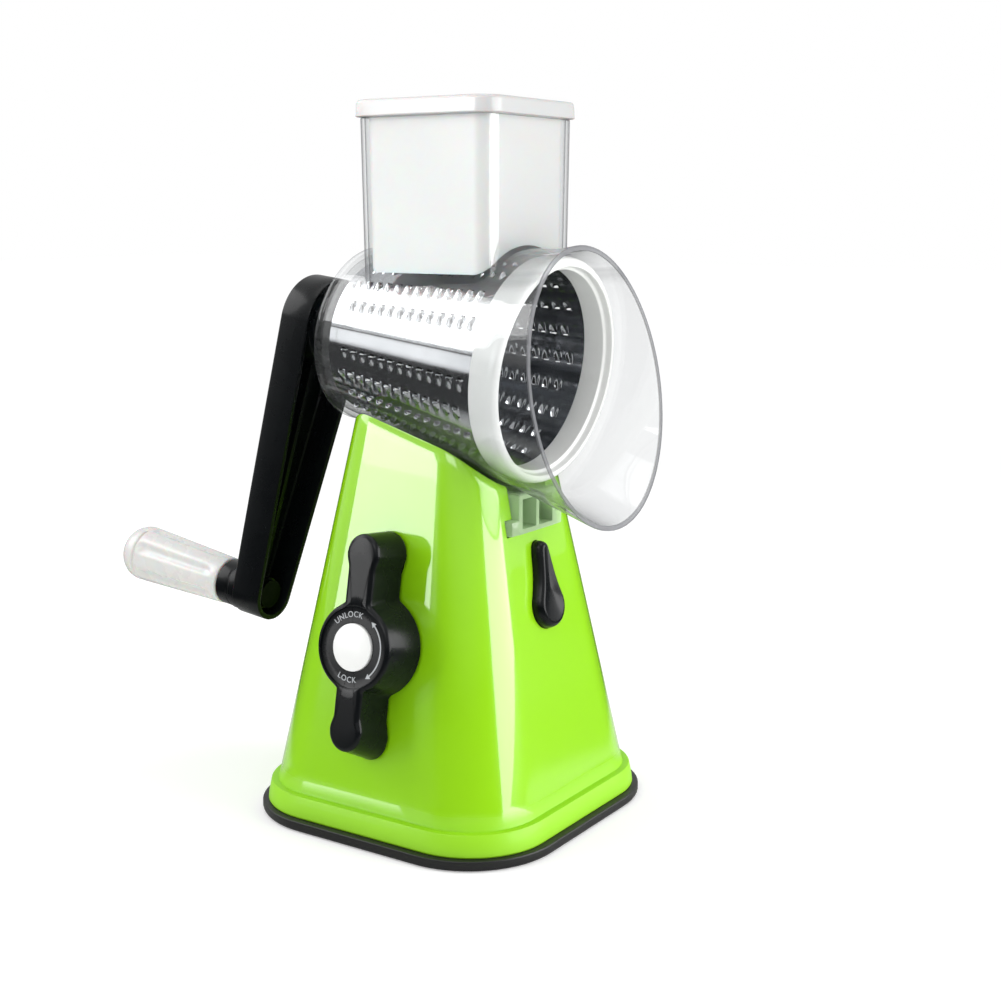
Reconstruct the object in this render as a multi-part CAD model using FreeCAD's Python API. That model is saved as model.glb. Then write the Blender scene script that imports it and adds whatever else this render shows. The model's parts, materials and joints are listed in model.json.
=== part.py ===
import FreeCAD, Part
import math
import os

# Rotary cheese grater: a tapered base with a suction foot, a clear drum housing
# that slides onto it, a conical grating drum turned by a crank, and a food pusher.
# Millimetres, +Z up. Origin: middle of the foot's underside.
# +X is the way grated food leaves; the crank is on -X and the suction knob on -Y.

# --- driving dimensions -------------------------------------------------------
WALL = 2.6                 # moulded wall of the base
FIT = 0.05                 # radial running clearance
GAP = 0.3                  # free clearance between moving mouldings

PAD_HALF = 66.2            # rubber foot, rounded square
PAD_CORNER = 37.0
PAD_HEIGHT = 4.2
PAD_SKIN = 2.0

LIP_HALF = 63.2            # flared lip at the bottom of the base
LIP_CORNER = 32.6
LIP_TOP = 12.9
LIP_DRAFT = 1.3

BODY_HALF = 58.8           # base body just above the lip
BODY_CORNER = 28.0
TAPER = 0.191              # loss of half-width per millimetre of height
CORNER_TAPER = 0.095
BLANK_TOP = 175.0          # height of the body blank before the saddle is cut

DRUM_TILT = 7.0            # degrees the drum axis dips towards the outlet
DRUM_FRONT = (49.9, 0.0, 179.0)

CHAMBER_REAR = -91.0       # along the drum axis, from the drum's front
CHAMBER_FRONT = -4.0
CHAMBER_R_REAR = 34.4
CHAMBER_R_FRONT = 46.2
CLEAR_WALL = 2.0
SADDLE_GROWTH = 4.0        # the saddle is a larger cone with its axis raised
SADDLE_RAISE = 3.0

RIM_CENTRE = (18.57, -2.757)   # guard rim's centre: along the axis, and up
RIM_HALF_WIDTH = 48.1
RIM_HALF_HEIGHT = 53.4
RIM_LEAN = 16.4
RIM_WALL = 1.8

CHUTE_X = 8.0
CHUTE_TOP = 273.5
CHUTE_HALF_TOP = 30.8
CHUTE_HALF_LOW = 30.0
CHUTE_LOW = 200.0
CHUTE_WALL = 1.5
CHUTE_CORNER = 7.5

PUSHER_RIM_HALF = 32.4
PUSHER_RIM_CORNER = 8.4
PUSHER_RIM_LOW = 273.8
PUSHER_TOP = 280.0
PUSHER_HALF_TOP = 28.1
PUSHER_HALF_LOW = 27.6
PUSHER_LOW = 216.0
PUSHER_ARCH_R = 42.0
PUSHER_WALL = 1.8
PUSHER_FLOOR = 231.0

RAIL_REAR = -14.0
RAIL_FRONT = 41.0
RAIL_HALF = 13.0
FOOT_HALF = 18.0
FOOT_LOW = 117.3
FOOT_TOP = 123.0
TRACK_HALF = 22.0
TRACK_LOW = 112.0
TRACK_REAR = -20.0

STEEL = 0.6
STEEL_REAR = -87.0
STEEL_FRONT = -8.0
STEEL_R_REAR = 30.4
STEEL_R_FRONT = 39.9
RING_REAR = -12.0
RING_BORE = 37.6
JOURNAL_R = 12.0
STEM_HALF = 7.5
STEM_REAR = -111.0

ARM_INNER = -108.0
ARM_OUTER = -123.0
ARM_WALL = 2.2
ARM_HEAD_R = 19.5
ARM_END_R = 10.5
ARM_LENGTH = 115.0
ARM_SWING = 14.0           # degrees from straight down, towards -Y
BOSS_R = 14.5
COLLAR_R = 9.5
COLLAR_REAR = -133.0
GRIP_REAR = -192.0
GRIP_R_NEAR = 9.8
GRIP_R_FAR = 11.9
PIN_R = 4.0

KNOB_HEIGHT = 18.0
KNOB_AXIS_Z = 75.6
HUB_R_BASE = 19.5
HUB_R_TOP = 16.8
BAR_REACH_BASE = 44.0
BAR_REACH_TOP = 39.5
BAR_HALF = 7.2
BULB_R = 8.0
CAP_R = 9.0
SHAFT_R = 5.0
CAM_LOW = 6.0              # cam radius with the foot released
CAM_HIGH = 9.0             # and after a quarter turn

BUTTON_Z = 87.7
BUTTON_R = 8.85
BUTTON_TIP_R = 3.3
BUTTON_REACH = 22.3
BUTTON_PROUD = 4.7
FLANGE_BACK = -4.2

TILT = math.degrees(math.atan(TAPER))
ORIGIN = FreeCAD.Vector(0, 0, 0)
ALONG_X = FreeCAD.Vector(1, 0, 0)
ALONG_Y = FreeCAD.Vector(0, 1, 0)
UP = FreeCAD.Vector(0, 0, 1)


# --- frames -------------------------------------------------------------------
def face_reach(height):
    """Distance of the base's outer faces from the middle at a height."""
    return BODY_HALF - TAPER * (height - LIP_TOP)


DRUM_FRAME = FreeCAD.Placement(
    FreeCAD.Vector(*DRUM_FRONT), FreeCAD.Rotation(ALONG_Y, DRUM_TILT))
KNOB_FRAME = FreeCAD.Placement(
    FreeCAD.Vector(0, -face_reach(KNOB_AXIS_Z), KNOB_AXIS_Z),
    FreeCAD.Rotation(ALONG_X, 90 - TILT))
BUTTON_FRAME = FreeCAD.Placement(
    FreeCAD.Vector(face_reach(BUTTON_Z), 0, BUTTON_Z),
    FreeCAD.Rotation(UP, 90).multiply(FreeCAD.Rotation(ALONG_X, 90 - TILT)))
CAM_DEPTH = face_reach(KNOB_AXIS_Z) / math.cos(math.radians(TILT))
CAM_Z = KNOB_AXIS_Z - CAM_DEPTH * math.sin(math.radians(TILT))


def placed(shape, frame):
    """The shape moved from a local frame to the grater's own."""
    moved = shape.copy()
    moved.Placement = frame.multiply(moved.Placement)
    return moved


# --- basic solids -------------------------------------------------------------
def box(x_span, y_span, z_span):
    corner = FreeCAD.Vector(x_span[0], y_span[0], z_span[0])
    return Part.makeBox(x_span[1] - x_span[0], y_span[1] - y_span[0],
                        z_span[1] - z_span[0], corner)


def rod(radius, start, end, x=0.0, y=0.0):
    """A round bar along Z."""
    return Part.makeCylinder(radius, end - start, FreeCAD.Vector(x, y, start))


def bar_x(radius, start, end, y=0.0, z=0.0):
    """A round bar along X."""
    return Part.makeCylinder(radius, end - start, FreeCAD.Vector(start, y, z), ALONG_X)


def rounded_square(half, corner, z, x=0.0):
    """A closed wire: a square of side 2*half with round corners."""
    flat = half - corner
    mid = corner * math.sqrt(0.5)
    edges = []
    for quarter in range(4):
        turn = FreeCAD.Rotation(UP, 90 * quarter)
        shift = FreeCAD.Vector(x, 0, z)
        side = [turn.multVec(FreeCAD.Vector(half, s * flat, 0)) + shift for s in (-1, 1)]
        bend = [turn.multVec(FreeCAD.Vector(half, flat, 0)) + shift,
                turn.multVec(FreeCAD.Vector(flat + mid, flat + mid, 0)) + shift,
                turn.multVec(FreeCAD.Vector(flat, half, 0)) + shift]
        edges.append(Part.LineSegment(*side).toShape())
        edges.append(Part.Arc(*bend).toShape())
    return Part.Wire(edges)


def tapered_block(low, high, x=0.0):
    """A solid between two rounded squares, each given as (z, half, corner)."""
    wires = [rounded_square(half, corner, z, x) for z, half, corner in (low, high)]
    return Part.makeLoft(wires, True, True)


def turned(profile):
    """A solid of revolution about X from (along, radius) points."""
    points = [FreeCAD.Vector(s, 0, r) for s, r in profile]
    face = Part.Face(Part.makePolygon(points + points[:1]))
    return face.revolve(ORIGIN, ALONG_X, 360)


def flat_plate_xz(points, half_width):
    """A polygon in the XZ plane, extruded both ways along Y."""
    corners = [FreeCAD.Vector(x, -half_width, z) for x, z in points]
    face = Part.Face(Part.makePolygon(corners + corners[:1]))
    return face.extrude(FreeCAD.Vector(0, 2 * half_width, 0))


def capsule(radius_a, radius_b, length):
    """Face in XY: two circles, at 0 and up at length, joined by their tangents."""
    lean = math.asin((radius_a - radius_b) / length)
    side = FreeCAD.Vector(math.cos(lean), math.sin(lean), 0)
    mirror = FreeCAD.Vector(-side.x, side.y, 0)
    top = FreeCAD.Vector(0, length, 0)
    edges = [
        Part.LineSegment(side * radius_a, top + side * radius_b).toShape(),
        Part.Arc(top + side * radius_b, FreeCAD.Vector(0, length + radius_b, 0),
                 top + mirror * radius_b).toShape(),
        Part.LineSegment(top + mirror * radius_b, mirror * radius_a).toShape(),
        Part.Arc(mirror * radius_a, FreeCAD.Vector(0, -radius_a, 0),
                 side * radius_a).toShape(),
    ]
    return Part.Face(Part.Wire(edges))


def prism(face, start, end):
    """A face in XY lifted to start and extruded to end."""
    lifted = face.copy()
    lifted.translate(FreeCAD.Vector(0, 0, start))
    return lifted.extrude(FreeCAD.Vector(0, 0, end - start))


def fused(first, *others):
    return first.fuse(list(others)).removeSplitter()


def coil(radius, wire_r, low, high, turns, x=0.0):
    """A round-wire compression spring standing on Z."""
    pitch = (high - low - 2 * wire_r) / turns
    helix = Part.makeHelix(pitch, pitch * turns, radius)
    section = Part.Wire(Part.makeCircle(wire_r, FreeCAD.Vector(radius, 0, 0), ALONG_Y))
    spring = Part.Wire(helix.Edges).makePipeShell([section], True, True)
    spring.translate(FreeCAD.Vector(x, 0, low + wire_r))
    return spring


# --- base ---------------------------------------------------------------------
def body_section(z, offset):
    corner = BODY_CORNER - CORNER_TAPER * (z - LIP_TOP) - offset
    return (z, face_reach(z) - offset, corner)


def saddle_cutter(extra):
    """The cone that hollows the top of the base, with its axis raised."""
    slope = (CHAMBER_R_FRONT - CHAMBER_R_REAR) / (CHAMBER_FRONT - CHAMBER_REAR)
    reach = 60.0
    rear_r = CHAMBER_R_REAR - slope * reach + SADDLE_GROWTH + extra
    front_r = CHAMBER_R_FRONT + slope * reach + SADDLE_GROWTH + extra
    rear = CHAMBER_REAR - reach
    front = CHAMBER_FRONT + reach
    cone = turned([(rear, 0), (rear, rear_r), (front, front_r), (front, 0)])
    cone.translate(FreeCAD.Vector(0, 0, SADDLE_RAISE))
    return placed(cone, DRUM_FRAME)


def body_outside():
    blank = tapered_block(body_section(LIP_TOP - 4.0, 0), body_section(BLANK_TOP, 0))
    return blank.cut(saddle_cutter(0))


def body_inside():
    start = body_section(LIP_TOP, WALL)
    skirt = tapered_block((PAD_HEIGHT - 1.0,) + start[1:], start)
    blank = tapered_block(start, body_section(BLANK_TOP, WALL))
    return skirt.fuse(blank.cut(saddle_cutter(WALL)))


def rail_slot(clearance):
    """T-shaped channel, open at the front, that the housing's rail slides in."""
    rear = RAIL_REAR - 2.0
    front = BODY_HALF + 10.0
    neck = box((rear, front), (-RAIL_HALF - clearance, RAIL_HALF + clearance),
               (FOOT_LOW, BLANK_TOP))
    wings = box((rear, front), (-FOOT_HALF - clearance, FOOT_HALF + clearance),
                (FOOT_LOW - clearance, FOOT_TOP + clearance))
    return neck.fuse(wings)


def screw_posts():
    return [(x, y) for x in (-38.0, 38.0) for y in (-38.0, 38.0)]


POST_LOW = 14.5
POST_TOP = 64.0
POST_R = 4.5


def base_body():
    outside = body_outside()
    lip = tapered_block((PAD_HEIGHT, LIP_HALF, LIP_CORNER),
                        (LIP_TOP, LIP_HALF - LIP_DRAFT, LIP_CORNER - LIP_DRAFT / 2))
    shell = outside.fuse(lip).cut(body_inside())
    posts = [rod(POST_R, POST_LOW, POST_TOP, x, y).common(outside) for x, y in screw_posts()]
    bearing = placed(rod(SHAFT_R + 4.0, -14.0, 4.0), KNOB_FRAME).common(outside)
    shell = shell.fuse(posts + [bearing])
    pilot = [rod(1.5, POST_LOW - 1.0, POST_LOW + 14.0, x, y) for x, y in screw_posts()]
    bore = placed(rod(SHAFT_R + FIT, -20.0, 6.0), KNOB_FRAME)
    window = capsule(BUTTON_R + GAP, BUTTON_TIP_R + GAP, BUTTON_REACH)
    button_hole = placed(prism(window, -10.0, 6.0), BUTTON_FRAME)
    return shell.cut(pilot + [bore, button_hole, rail_slot(0.4)])


def suction_pad():
    rim = tapered_block((0.0, PAD_HALF - 0.8, PAD_CORNER), (PAD_HEIGHT, PAD_HALF, PAD_CORNER))
    well = tapered_block((PAD_SKIN, BODY_HALF - WALL, BODY_CORNER - WALL),
                         (PAD_HEIGHT + 1.0, BODY_HALF - WALL, BODY_CORNER - WALL))
    socket = rod(14.0, PAD_SKIN, 9.6)
    pocket = rod(10.0, PAD_SKIN, 8.2)
    mouth = rod(5.5, PAD_SKIN, 10.0)
    return fused(rim.cut(well), socket).cut(pocket.fuse(mouth))


PLATE_LOW = 12.0
BUSH_TOP = 28.0


def base_plate():
    start = body_section(LIP_TOP, WALL + GAP)
    plate = tapered_block((PLATE_LOW,) + body_section(POST_LOW, WALL + GAP)[1:],
                          (POST_LOW,) + body_section(POST_LOW, WALL + GAP)[1:])
    bush = rod(7.5, PLATE_LOW, BUSH_TOP)
    ribs = [box((-start[1] + 14.0, start[1] - 14.0), (-1.2, 1.2), (POST_LOW, POST_LOW + 6.0)),
            box((-1.2, 1.2), (-start[1] + 14.0, start[1] - 14.0), (POST_LOW, POST_LOW + 6.0))]
    holes = [rod(1.8, PLATE_LOW - 1.0, POST_LOW + 1.0, x, y) for x, y in screw_posts()]
    return fused(plate, bush, *ribs).cut(holes + [rod(PIN_R + FIT, PLATE_LOW - 1, BUSH_TOP + 1)])


def plate_screws():
    screws = []
    for x, y in screw_posts():
        shank = rod(1.45, PLATE_LOW - 0.01, POST_LOW + 11.0, x, y)
        head = rod(3.0, PLATE_LOW - 2.2, PLATE_LOW, x, y)
        slot = box((x - 2.0, x + 2.0), (y - 0.4, y + 0.4), (PLATE_LOW - 2.3, PLATE_LOW - 1.2))
        screws.append(shank.fuse(head).cut(slot))
    return Part.makeCompound(screws)


LEG_LOW = 66.0
BOLT_X = (24.0, 32.0)
BOLT_HALF = 5.0


def rail_track():
    """Inner guide for the housing's rail, with two legs that carry the latch."""
    block = box((TRACK_REAR, BODY_HALF), (-TRACK_HALF, TRACK_HALF), (TRACK_LOW, BLANK_TOP))
    block = block.common(body_inside()).cut(rail_slot(0.4))
    span = (BOLT_X[0] - 2.0, BOLT_X[1])
    legs = [box(span, side, (LEG_LOW, TRACK_LOW)) for side in ((-8.0, -5.4), (5.4, 8.0))]
    floor = box(span, (-8.0, 8.0), (LEG_LOW, LEG_LOW + 2.5))
    bolt_hole = box((BOLT_X[0] - GAP, BOLT_X[1] + GAP), (-BOLT_HALF - GAP, BOLT_HALF + GAP),
                    (TRACK_LOW - 1.0, FOOT_LOW))
    button_room = box((BOLT_X[1] - 1.5, BODY_HALF), (-8.0, 8.0),
                      (TRACK_LOW - 1.0, TRACK_LOW + 3.5))
    return fused(block, floor, *legs).cut([bolt_hole, button_room])


# --- suction lift -------------------------------------------------------------
def cam_shaft():
    """Shaft with a linear spiral cam, so equal turns give equal lift."""
    shaft = rod(SHAFT_R, -CAM_DEPTH - 6.0, 2.0)
    drive = prism(Part.Face(rounded_square(3.5, 0.5, 0)), 2.0, 12.0)
    rise = (CAM_HIGH - CAM_LOW) / 90.0
    rim = []
    for degrees in range(78, 193, 19):
        reach = CAM_LOW + rise * (degrees - 90)
        angle = math.radians(degrees)
        rim.append(FreeCAD.Vector(reach * math.cos(angle), reach * math.sin(angle), 0))
    spiral = Part.BSplineCurve()
    spiral.interpolate(rim)
    edges = [spiral.toShape(), Part.LineSegment(rim[-1], ORIGIN).toShape(),
             Part.LineSegment(ORIGIN, rim[0]).toShape()]
    lobe = prism(Part.Face(Part.Wire(edges)), -CAM_DEPTH - 4.0, -CAM_DEPTH + 4.0)
    hub = rod(SHAFT_R + 0.4, -CAM_DEPTH - 4.0, -CAM_DEPTH + 4.0)
    groove = rod(SHAFT_R + 1.0, -16.3, -15.0).cut(rod(SHAFT_R - 0.8, -17.0, -14.0))
    pilot = rod(1.4, -6.0, 13.0)
    return placed(fused(shaft, drive, lobe, hub).cut(groove.fuse(pilot)), KNOB_FRAME)


def shaft_clip():
    ring = rod(SHAFT_R + 3.0, -16.1, -15.2).cut(rod(SHAFT_R - 0.75, -17.0, -14.0))
    mouth = box((-2.5, 2.5), (-12.0, 0.0), (-17.0, -14.0))
    return placed(ring.cut(mouth), KNOB_FRAME)


YOKE_TOP = 82.0
ROD_FOOT = PAD_SKIN + 0.6


def lift_rod():
    frame = box((-14.0, 14.0), (-13.0, 12.0), (-CAM_DEPTH - 6.0, -CAM_DEPTH + 6.0))
    window = box((-10.6, 10.6), (-9.5, CAM_LOW + 0.9), (-CAM_DEPTH - 8.0, -CAM_DEPTH + 8.0))
    yoke = placed(frame.cut(window), KNOB_FRAME)
    stem = rod(PIN_R, ROD_FOOT, CAM_Z - 10.5)
    foot = rod(9.0, ROD_FOOT, ROD_FOOT + 2.0)
    seat = rod(7.0, CAM_Z + 9.0, YOKE_TOP)
    peg = rod(3.2, YOKE_TOP, YOKE_TOP + 8.0)
    return fused(yoke, stem, foot, seat, peg)


def lift_spring():
    return coil(4.8, 0.8, YOKE_TOP, TRACK_LOW, 6)


# --- suction knob -------------------------------------------------------------
def knob_outline(reach, half, bulb, hub, z):
    """Wire of the knob seen from outside: hub disc, two arms, two rounder ends."""
    root = math.sqrt(hub ** 2 - half ** 2)
    neck = reach - bulb - math.sqrt(bulb ** 2 - half ** 2)
    corners = [(half, root), (half, neck), (-half, neck), (-half, root),
               (-half, -root), (-half, -neck), (half, -neck), (half, -root)]
    points = [FreeCAD.Vector(x, y, z) for x, y in corners]
    crests = [FreeCAD.Vector(0, reach, z), FreeCAD.Vector(-hub, 0, z),
              FreeCAD.Vector(0, -reach, z), FreeCAD.Vector(hub, 0, z)]
    edges = []
    for index, crest in enumerate(crests):
        start, end = points[2 * index], points[2 * index + 1]
        after = points[(2 * index + 2) % 8]
        edges.append(Part.LineSegment(start, end).toShape())
        edges.append(Part.Arc(end, crest, after).toShape())
    return Part.Wire(edges)


def suction_knob():
    low = knob_outline(BAR_REACH_BASE, BAR_HALF, BULB_R, HUB_R_BASE, 1.0)
    high = knob_outline(BAR_REACH_TOP, BAR_HALF - 1.2, BULB_R - 1.2, HUB_R_TOP, KNOB_HEIGHT)
    knob = Part.makeLoft([low, high], True, True)
    tops = [e for e in knob.Edges
            if all(abs(v.Z - KNOB_HEIGHT) < 1e-4 for v in e.Vertexes)]
    knob = knob.makeFillet(1.6, tops)
    cap_seat = rod(CAP_R + 0.05, KNOB_HEIGHT - 1.2, KNOB_HEIGHT + 1.0)
    screw_well = rod(4.5, 12.2, KNOB_HEIGHT)
    drive = prism(Part.Face(rounded_square(3.55, 0.5, 0)), 2.0, 12.3)
    return placed(knob.cut([cap_seat, screw_well, drive, rod(SHAFT_R + 0.1, 0, 2.0)]), KNOB_FRAME)


def knob_cap():
    disc = rod(CAP_R, KNOB_HEIGHT - 1.2, KNOB_HEIGHT + 0.3)
    rim = [e for e in disc.Edges if abs(e.CenterOfMass.z - KNOB_HEIGHT - 0.3) < 1e-6]
    return placed(disc.makeFillet(0.3, rim), KNOB_FRAME)


def knob_screw():
    head = rod(4.0, 12.3, 15.0)
    shank = rod(1.35, -4.0, 12.3)
    slot = box((-3.0, 3.0), (-0.5, 0.5), (14.0, 16.0))
    return placed(head.fuse(shank).cut(slot), KNOB_FRAME)


# --- release latch ------------------------------------------------------------
WEDGE = [(38.6, 86.0), (32.6, 92.0), (41.5, 92.0), (42.0, 86.0)]
BOLT = [(24.0, 82.0), (36.5, 82.0), (36.5, 87.5), (28.0, 96.0), (28.0, 98.0),
        (30.0, 98.0), (30.0, 115.7), (24.0, 115.7)]


def release_button():
    """Teardrop button with a flange behind the wall and a wedge behind that."""
    face = prism(capsule(BUTTON_R, BUTTON_TIP_R, BUTTON_REACH), FLANGE_BACK, BUTTON_PROUD)
    crown = [e for e in face.Edges if all(abs(v.Z - BUTTON_PROUD) < 1e-6 for v in e.Vertexes)]
    face = face.makeFillet(1.8, crown)
    flange = prism(capsule(BUTTON_R + 1.6, BUTTON_TIP_R + 1.6, BUTTON_REACH), FLANGE_BACK, -WALL - 0.5)
    button = placed(face.fuse(flange), BUTTON_FRAME)
    return fused(button, flat_plate_xz(WEDGE, 3.5))


def latch_bolt():
    return flat_plate_xz(BOLT, BOLT_HALF)


def latch_spring():
    middle = (BOLT_X[0] + BOLT_X[1]) / 2
    return coil(3.2, 0.6, LEG_LOW + 2.5, BOLT[0][1], 5, middle)


# --- drum housing -------------------------------------------------------------
def chamber(inset):
    """Cone around the drum; the inner one starts in front of the rear wall."""
    rear = CHAMBER_REAR + inset
    return turned([(rear, 0), (rear, CHAMBER_R_REAR - inset),
                   (CHAMBER_FRONT, CHAMBER_R_FRONT - inset), (CHAMBER_FRONT, 0)])


def guard(inset, rim_inset):
    """Flare from the round chamber mouth to the leaning oval rim."""
    circle = Part.Wire(Part.makeCircle(CHAMBER_R_FRONT - inset))
    oval = Part.Wire(Part.Ellipse(ORIGIN, RIM_HALF_HEIGHT - rim_inset,
                                  RIM_HALF_WIDTH - rim_inset).toShape())
    upright = FreeCAD.Rotation(FreeCAD.Vector(0, 0, 1), FreeCAD.Vector(0, -1, 0), ALONG_X, "ZXY")
    lean = FreeCAD.Rotation(ALONG_Y, -RIM_LEAN)
    circle.Placement = FreeCAD.Placement(FreeCAD.Vector(CHAMBER_FRONT, 0, 0), upright)
    oval.Placement = FreeCAD.Placement(
        FreeCAD.Vector(RIM_CENTRE[0], 0, RIM_CENTRE[1]), lean.multiply(upright))
    return Part.makeLoft([circle, oval], True, True)


def chute(inset, top):
    low = (CHUTE_LOW, CHUTE_HALF_LOW - inset, CHUTE_CORNER - inset)
    high = (top, CHUTE_HALF_TOP - inset, CHUTE_CORNER - inset)
    return tapered_block(low, high, CHUTE_X)


def housing_rail():
    neck = box((RAIL_REAR, RAIL_FRONT), (-RAIL_HALF, RAIL_HALF), (FOOT_LOW, DRUM_FRONT[2] - 36.0))
    feet = box((RAIL_REAR, RAIL_FRONT), (-FOOT_HALF, FOOT_HALF), (FOOT_LOW, FOOT_TOP))
    pockets = [box((12.0, RAIL_FRONT + 1), span, (FOOT_LOW + 2.0, 131.0))
               for span in ((-10.8, -1.0), (1.0, 10.8))]
    return neck.fuse(feet).cut(pockets)


def drum_housing():
    outside = placed(fused(chamber(0), guard(0, 0)), DRUM_FRAME)
    cavity = placed(fused(chamber(CLEAR_WALL), guard(CLEAR_WALL, RIM_WALL)), DRUM_FRAME)
    bore = placed(bar_x(JOURNAL_R + FIT, CHAMBER_REAR - 1, CHAMBER_REAR + 6), DRUM_FRAME)
    collar = placed(bar_x(JOURNAL_R + 2.5, CHAMBER_REAR, CHAMBER_REAR + 2.8), DRUM_FRAME)
    shell = outside.fuse([chute(0, CHUTE_TOP), housing_rail()])
    shell = shell.cut([cavity, chute(CHUTE_WALL, CHUTE_TOP + 1.0)])
    return shell.fuse(collar).cut(bore)


def food_pusher():
    body = tapered_block((PUSHER_LOW, PUSHER_HALF_LOW, 6.0), (PUSHER_TOP, PUSHER_HALF_TOP, 6.2),
                         CHUTE_X)
    rim = tapered_block((PUSHER_RIM_LOW, PUSHER_RIM_HALF, PUSHER_RIM_CORNER),
                        (PUSHER_TOP, PUSHER_RIM_HALF - 0.3, PUSHER_RIM_CORNER), CHUTE_X)
    crown = [e for e in rim.Edges if all(abs(v.Z - PUSHER_TOP) < 1e-6 for v in e.Vertexes)]
    rim = rim.makeFillet(1.2, crown)
    drop = math.sqrt(PUSHER_ARCH_R ** 2 - PUSHER_HALF_LOW ** 2)
    arch = bar_x(PUSHER_ARCH_R, CHUTE_X - 40, CHUTE_X + 40, 0, PUSHER_LOW - drop)
    hollow = tapered_block((PUSHER_FLOOR, PUSHER_HALF_LOW - PUSHER_WALL, 4.4),
                           (PUSHER_TOP + 1, PUSHER_HALF_TOP - PUSHER_WALL, 4.6), CHUTE_X)
    return body.fuse(rim).cut([arch, hollow])


# --- drum ---------------------------------------------------------------------
def steel_radius(along):
    share = (along - STEEL_REAR) / (STEEL_FRONT - STEEL_REAR)
    return STEEL_R_REAR + share * (STEEL_R_FRONT - STEEL_R_REAR)


def drum_blade():
    sheet = turned([(STEEL_REAR, STEEL_R_REAR - STEEL), (STEEL_REAR, STEEL_R_REAR),
                    (STEEL_FRONT, STEEL_R_FRONT), (STEEL_FRONT, STEEL_R_FRONT - STEEL)])
    return placed(sheet, DRUM_FRAME)


def drum_ring():
    """White ring that grips the wide end of the steel cone in a groove."""
    ring = turned([(RING_REAR, RING_BORE), (RING_REAR, 42.3), (-3.2, 43.4), (-1.0, 42.9),
                   (0.0, 41.6), (0.0, 39.6), (-2.6, 39.2), (-3.2, RING_BORE)])
    groove = turned([(RING_REAR - 1, steel_radius(RING_REAR - 1) - STEEL - 0.05),
                     (RING_REAR - 1, steel_radius(RING_REAR - 1) + 0.05),
                     (STEEL_FRONT + 0.1, STEEL_R_FRONT + 0.05),
                     (STEEL_FRONT + 0.1, STEEL_R_FRONT - STEEL - 0.05)])
    return placed(ring.cut(groove), DRUM_FRAME)


def drum_hub():
    """White hub: plate inside the small end, round journal, square stem with windows."""
    rim_r = STEEL_R_REAR - STEEL - 0.05
    plate = bar_x(rim_r, STEEL_REAR, STEEL_REAR + 3.0)
    skirt = turned([(STEEL_REAR, rim_r - 2.0), (STEEL_REAR, rim_r),
                    (STEEL_REAR + 8.0, rim_r + 0.9), (STEEL_REAR + 8.0, rim_r - 1.1)])
    journal = bar_x(JOURNAL_R, CHAMBER_REAR - 1.5, STEEL_REAR)
    stem = box((STEM_REAR, STEEL_REAR), (-STEM_HALF, STEM_HALF), (-STEM_HALF, STEM_HALF))
    hollow = box((STEM_REAR - 1, CHAMBER_REAR), (-5.4, 5.4), (-5.4, 5.4))
    window = (STEM_REAR + 5.0, STEM_REAR + 11.0)
    windows = [box(window, (-9, 9), (-2.6, 2.6)), box(window, (-2.6, 2.6), (-9, 9))]
    stem = stem.cut([hollow] + windows)
    stem.rotate(ORIGIN, ALONG_X, -ARM_SWING)
    hollow.rotate(ORIGIN, ALONG_X, -ARM_SWING)
    return placed(fused(plate, skirt, journal.cut(hollow), stem), DRUM_FRAME)


# --- crank --------------------------------------------------------------------
def arm_outline(inset):
    return capsule(ARM_HEAD_R - inset, ARM_END_R - inset, ARM_LENGTH)


CRANK_FRAME = DRUM_FRAME.multiply(FreeCAD.Placement(
    ORIGIN, FreeCAD.Rotation(ALONG_X, -ARM_SWING).multiply(
        FreeCAD.Rotation(FreeCAD.Vector(0, -1, 0), FreeCAD.Vector(0, 0, -1), ALONG_X, "ZXY"))))


def crank_arm():
    """Channel-section arm, open towards the housing, with its hub socket and grip collar."""
    block = prism(arm_outline(0), ARM_OUTER, ARM_INNER)
    outer_edges = [e for e in block.Edges if all(abs(v.Z - ARM_OUTER) < 1e-6 for v in e.Vertexes)]
    block = block.makeFillet(1.2, outer_edges)
    trough = prism(arm_outline(ARM_WALL), ARM_OUTER + ARM_WALL, ARM_INNER + 1)
    head = rod(ARM_HEAD_R - ARM_WALL + 0.1, ARM_OUTER + ARM_WALL, ARM_INNER - 0.6)
    boss = rod(BOSS_R, ARM_OUTER + ARM_WALL, CHAMBER_REAR - 0.8)
    collar = rod(COLLAR_R, COLLAR_REAR, ARM_OUTER, 0, ARM_LENGTH)
    pillar = rod(6.5, ARM_OUTER, ARM_INNER - 4.0, 0, ARM_LENGTH)
    web = box((-1.0, 1.0), (ARM_HEAD_R - 4, ARM_LENGTH - 4), (ARM_OUTER + 1, ARM_OUTER + 7))
    side = STEM_HALF + FIT
    socket = box((-side, side), (-side, side), (STEM_REAR - 1.0, CHAMBER_REAR))
    relief = rod(JOURNAL_R + 0.6, CHAMBER_REAR - 2.4, CHAMBER_REAR)
    pin_bore = rod(PIN_R + 0.02, COLLAR_REAR - 1, ARM_INNER, 0, ARM_LENGTH)
    arm = fused(block.cut(trough), head, boss, collar, pillar, web)
    return placed(arm.cut([socket, relief, pin_bore]), CRANK_FRAME)


def snap_tabs():
    """Spring fingers of the crank; their noses stand just short of the stem's windows."""
    tabs = []
    for turn in (0, 180):
        finger = box((-2.2, 2.2), (4.0, 4.8), (STEM_REAR - 0.9, STEM_REAR + 10.0))
        nose = box((-2.2, 2.2), (4.0, 5.3), (STEM_REAR + 6.0, STEM_REAR + 10.0))
        tab = fused(finger, nose)
        tab.rotate(ORIGIN, UP, turn)
        tabs.append(tab)
    return Part.makeCompound([placed(tab, CRANK_FRAME) for tab in tabs])


PIN_END = -180.0


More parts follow.
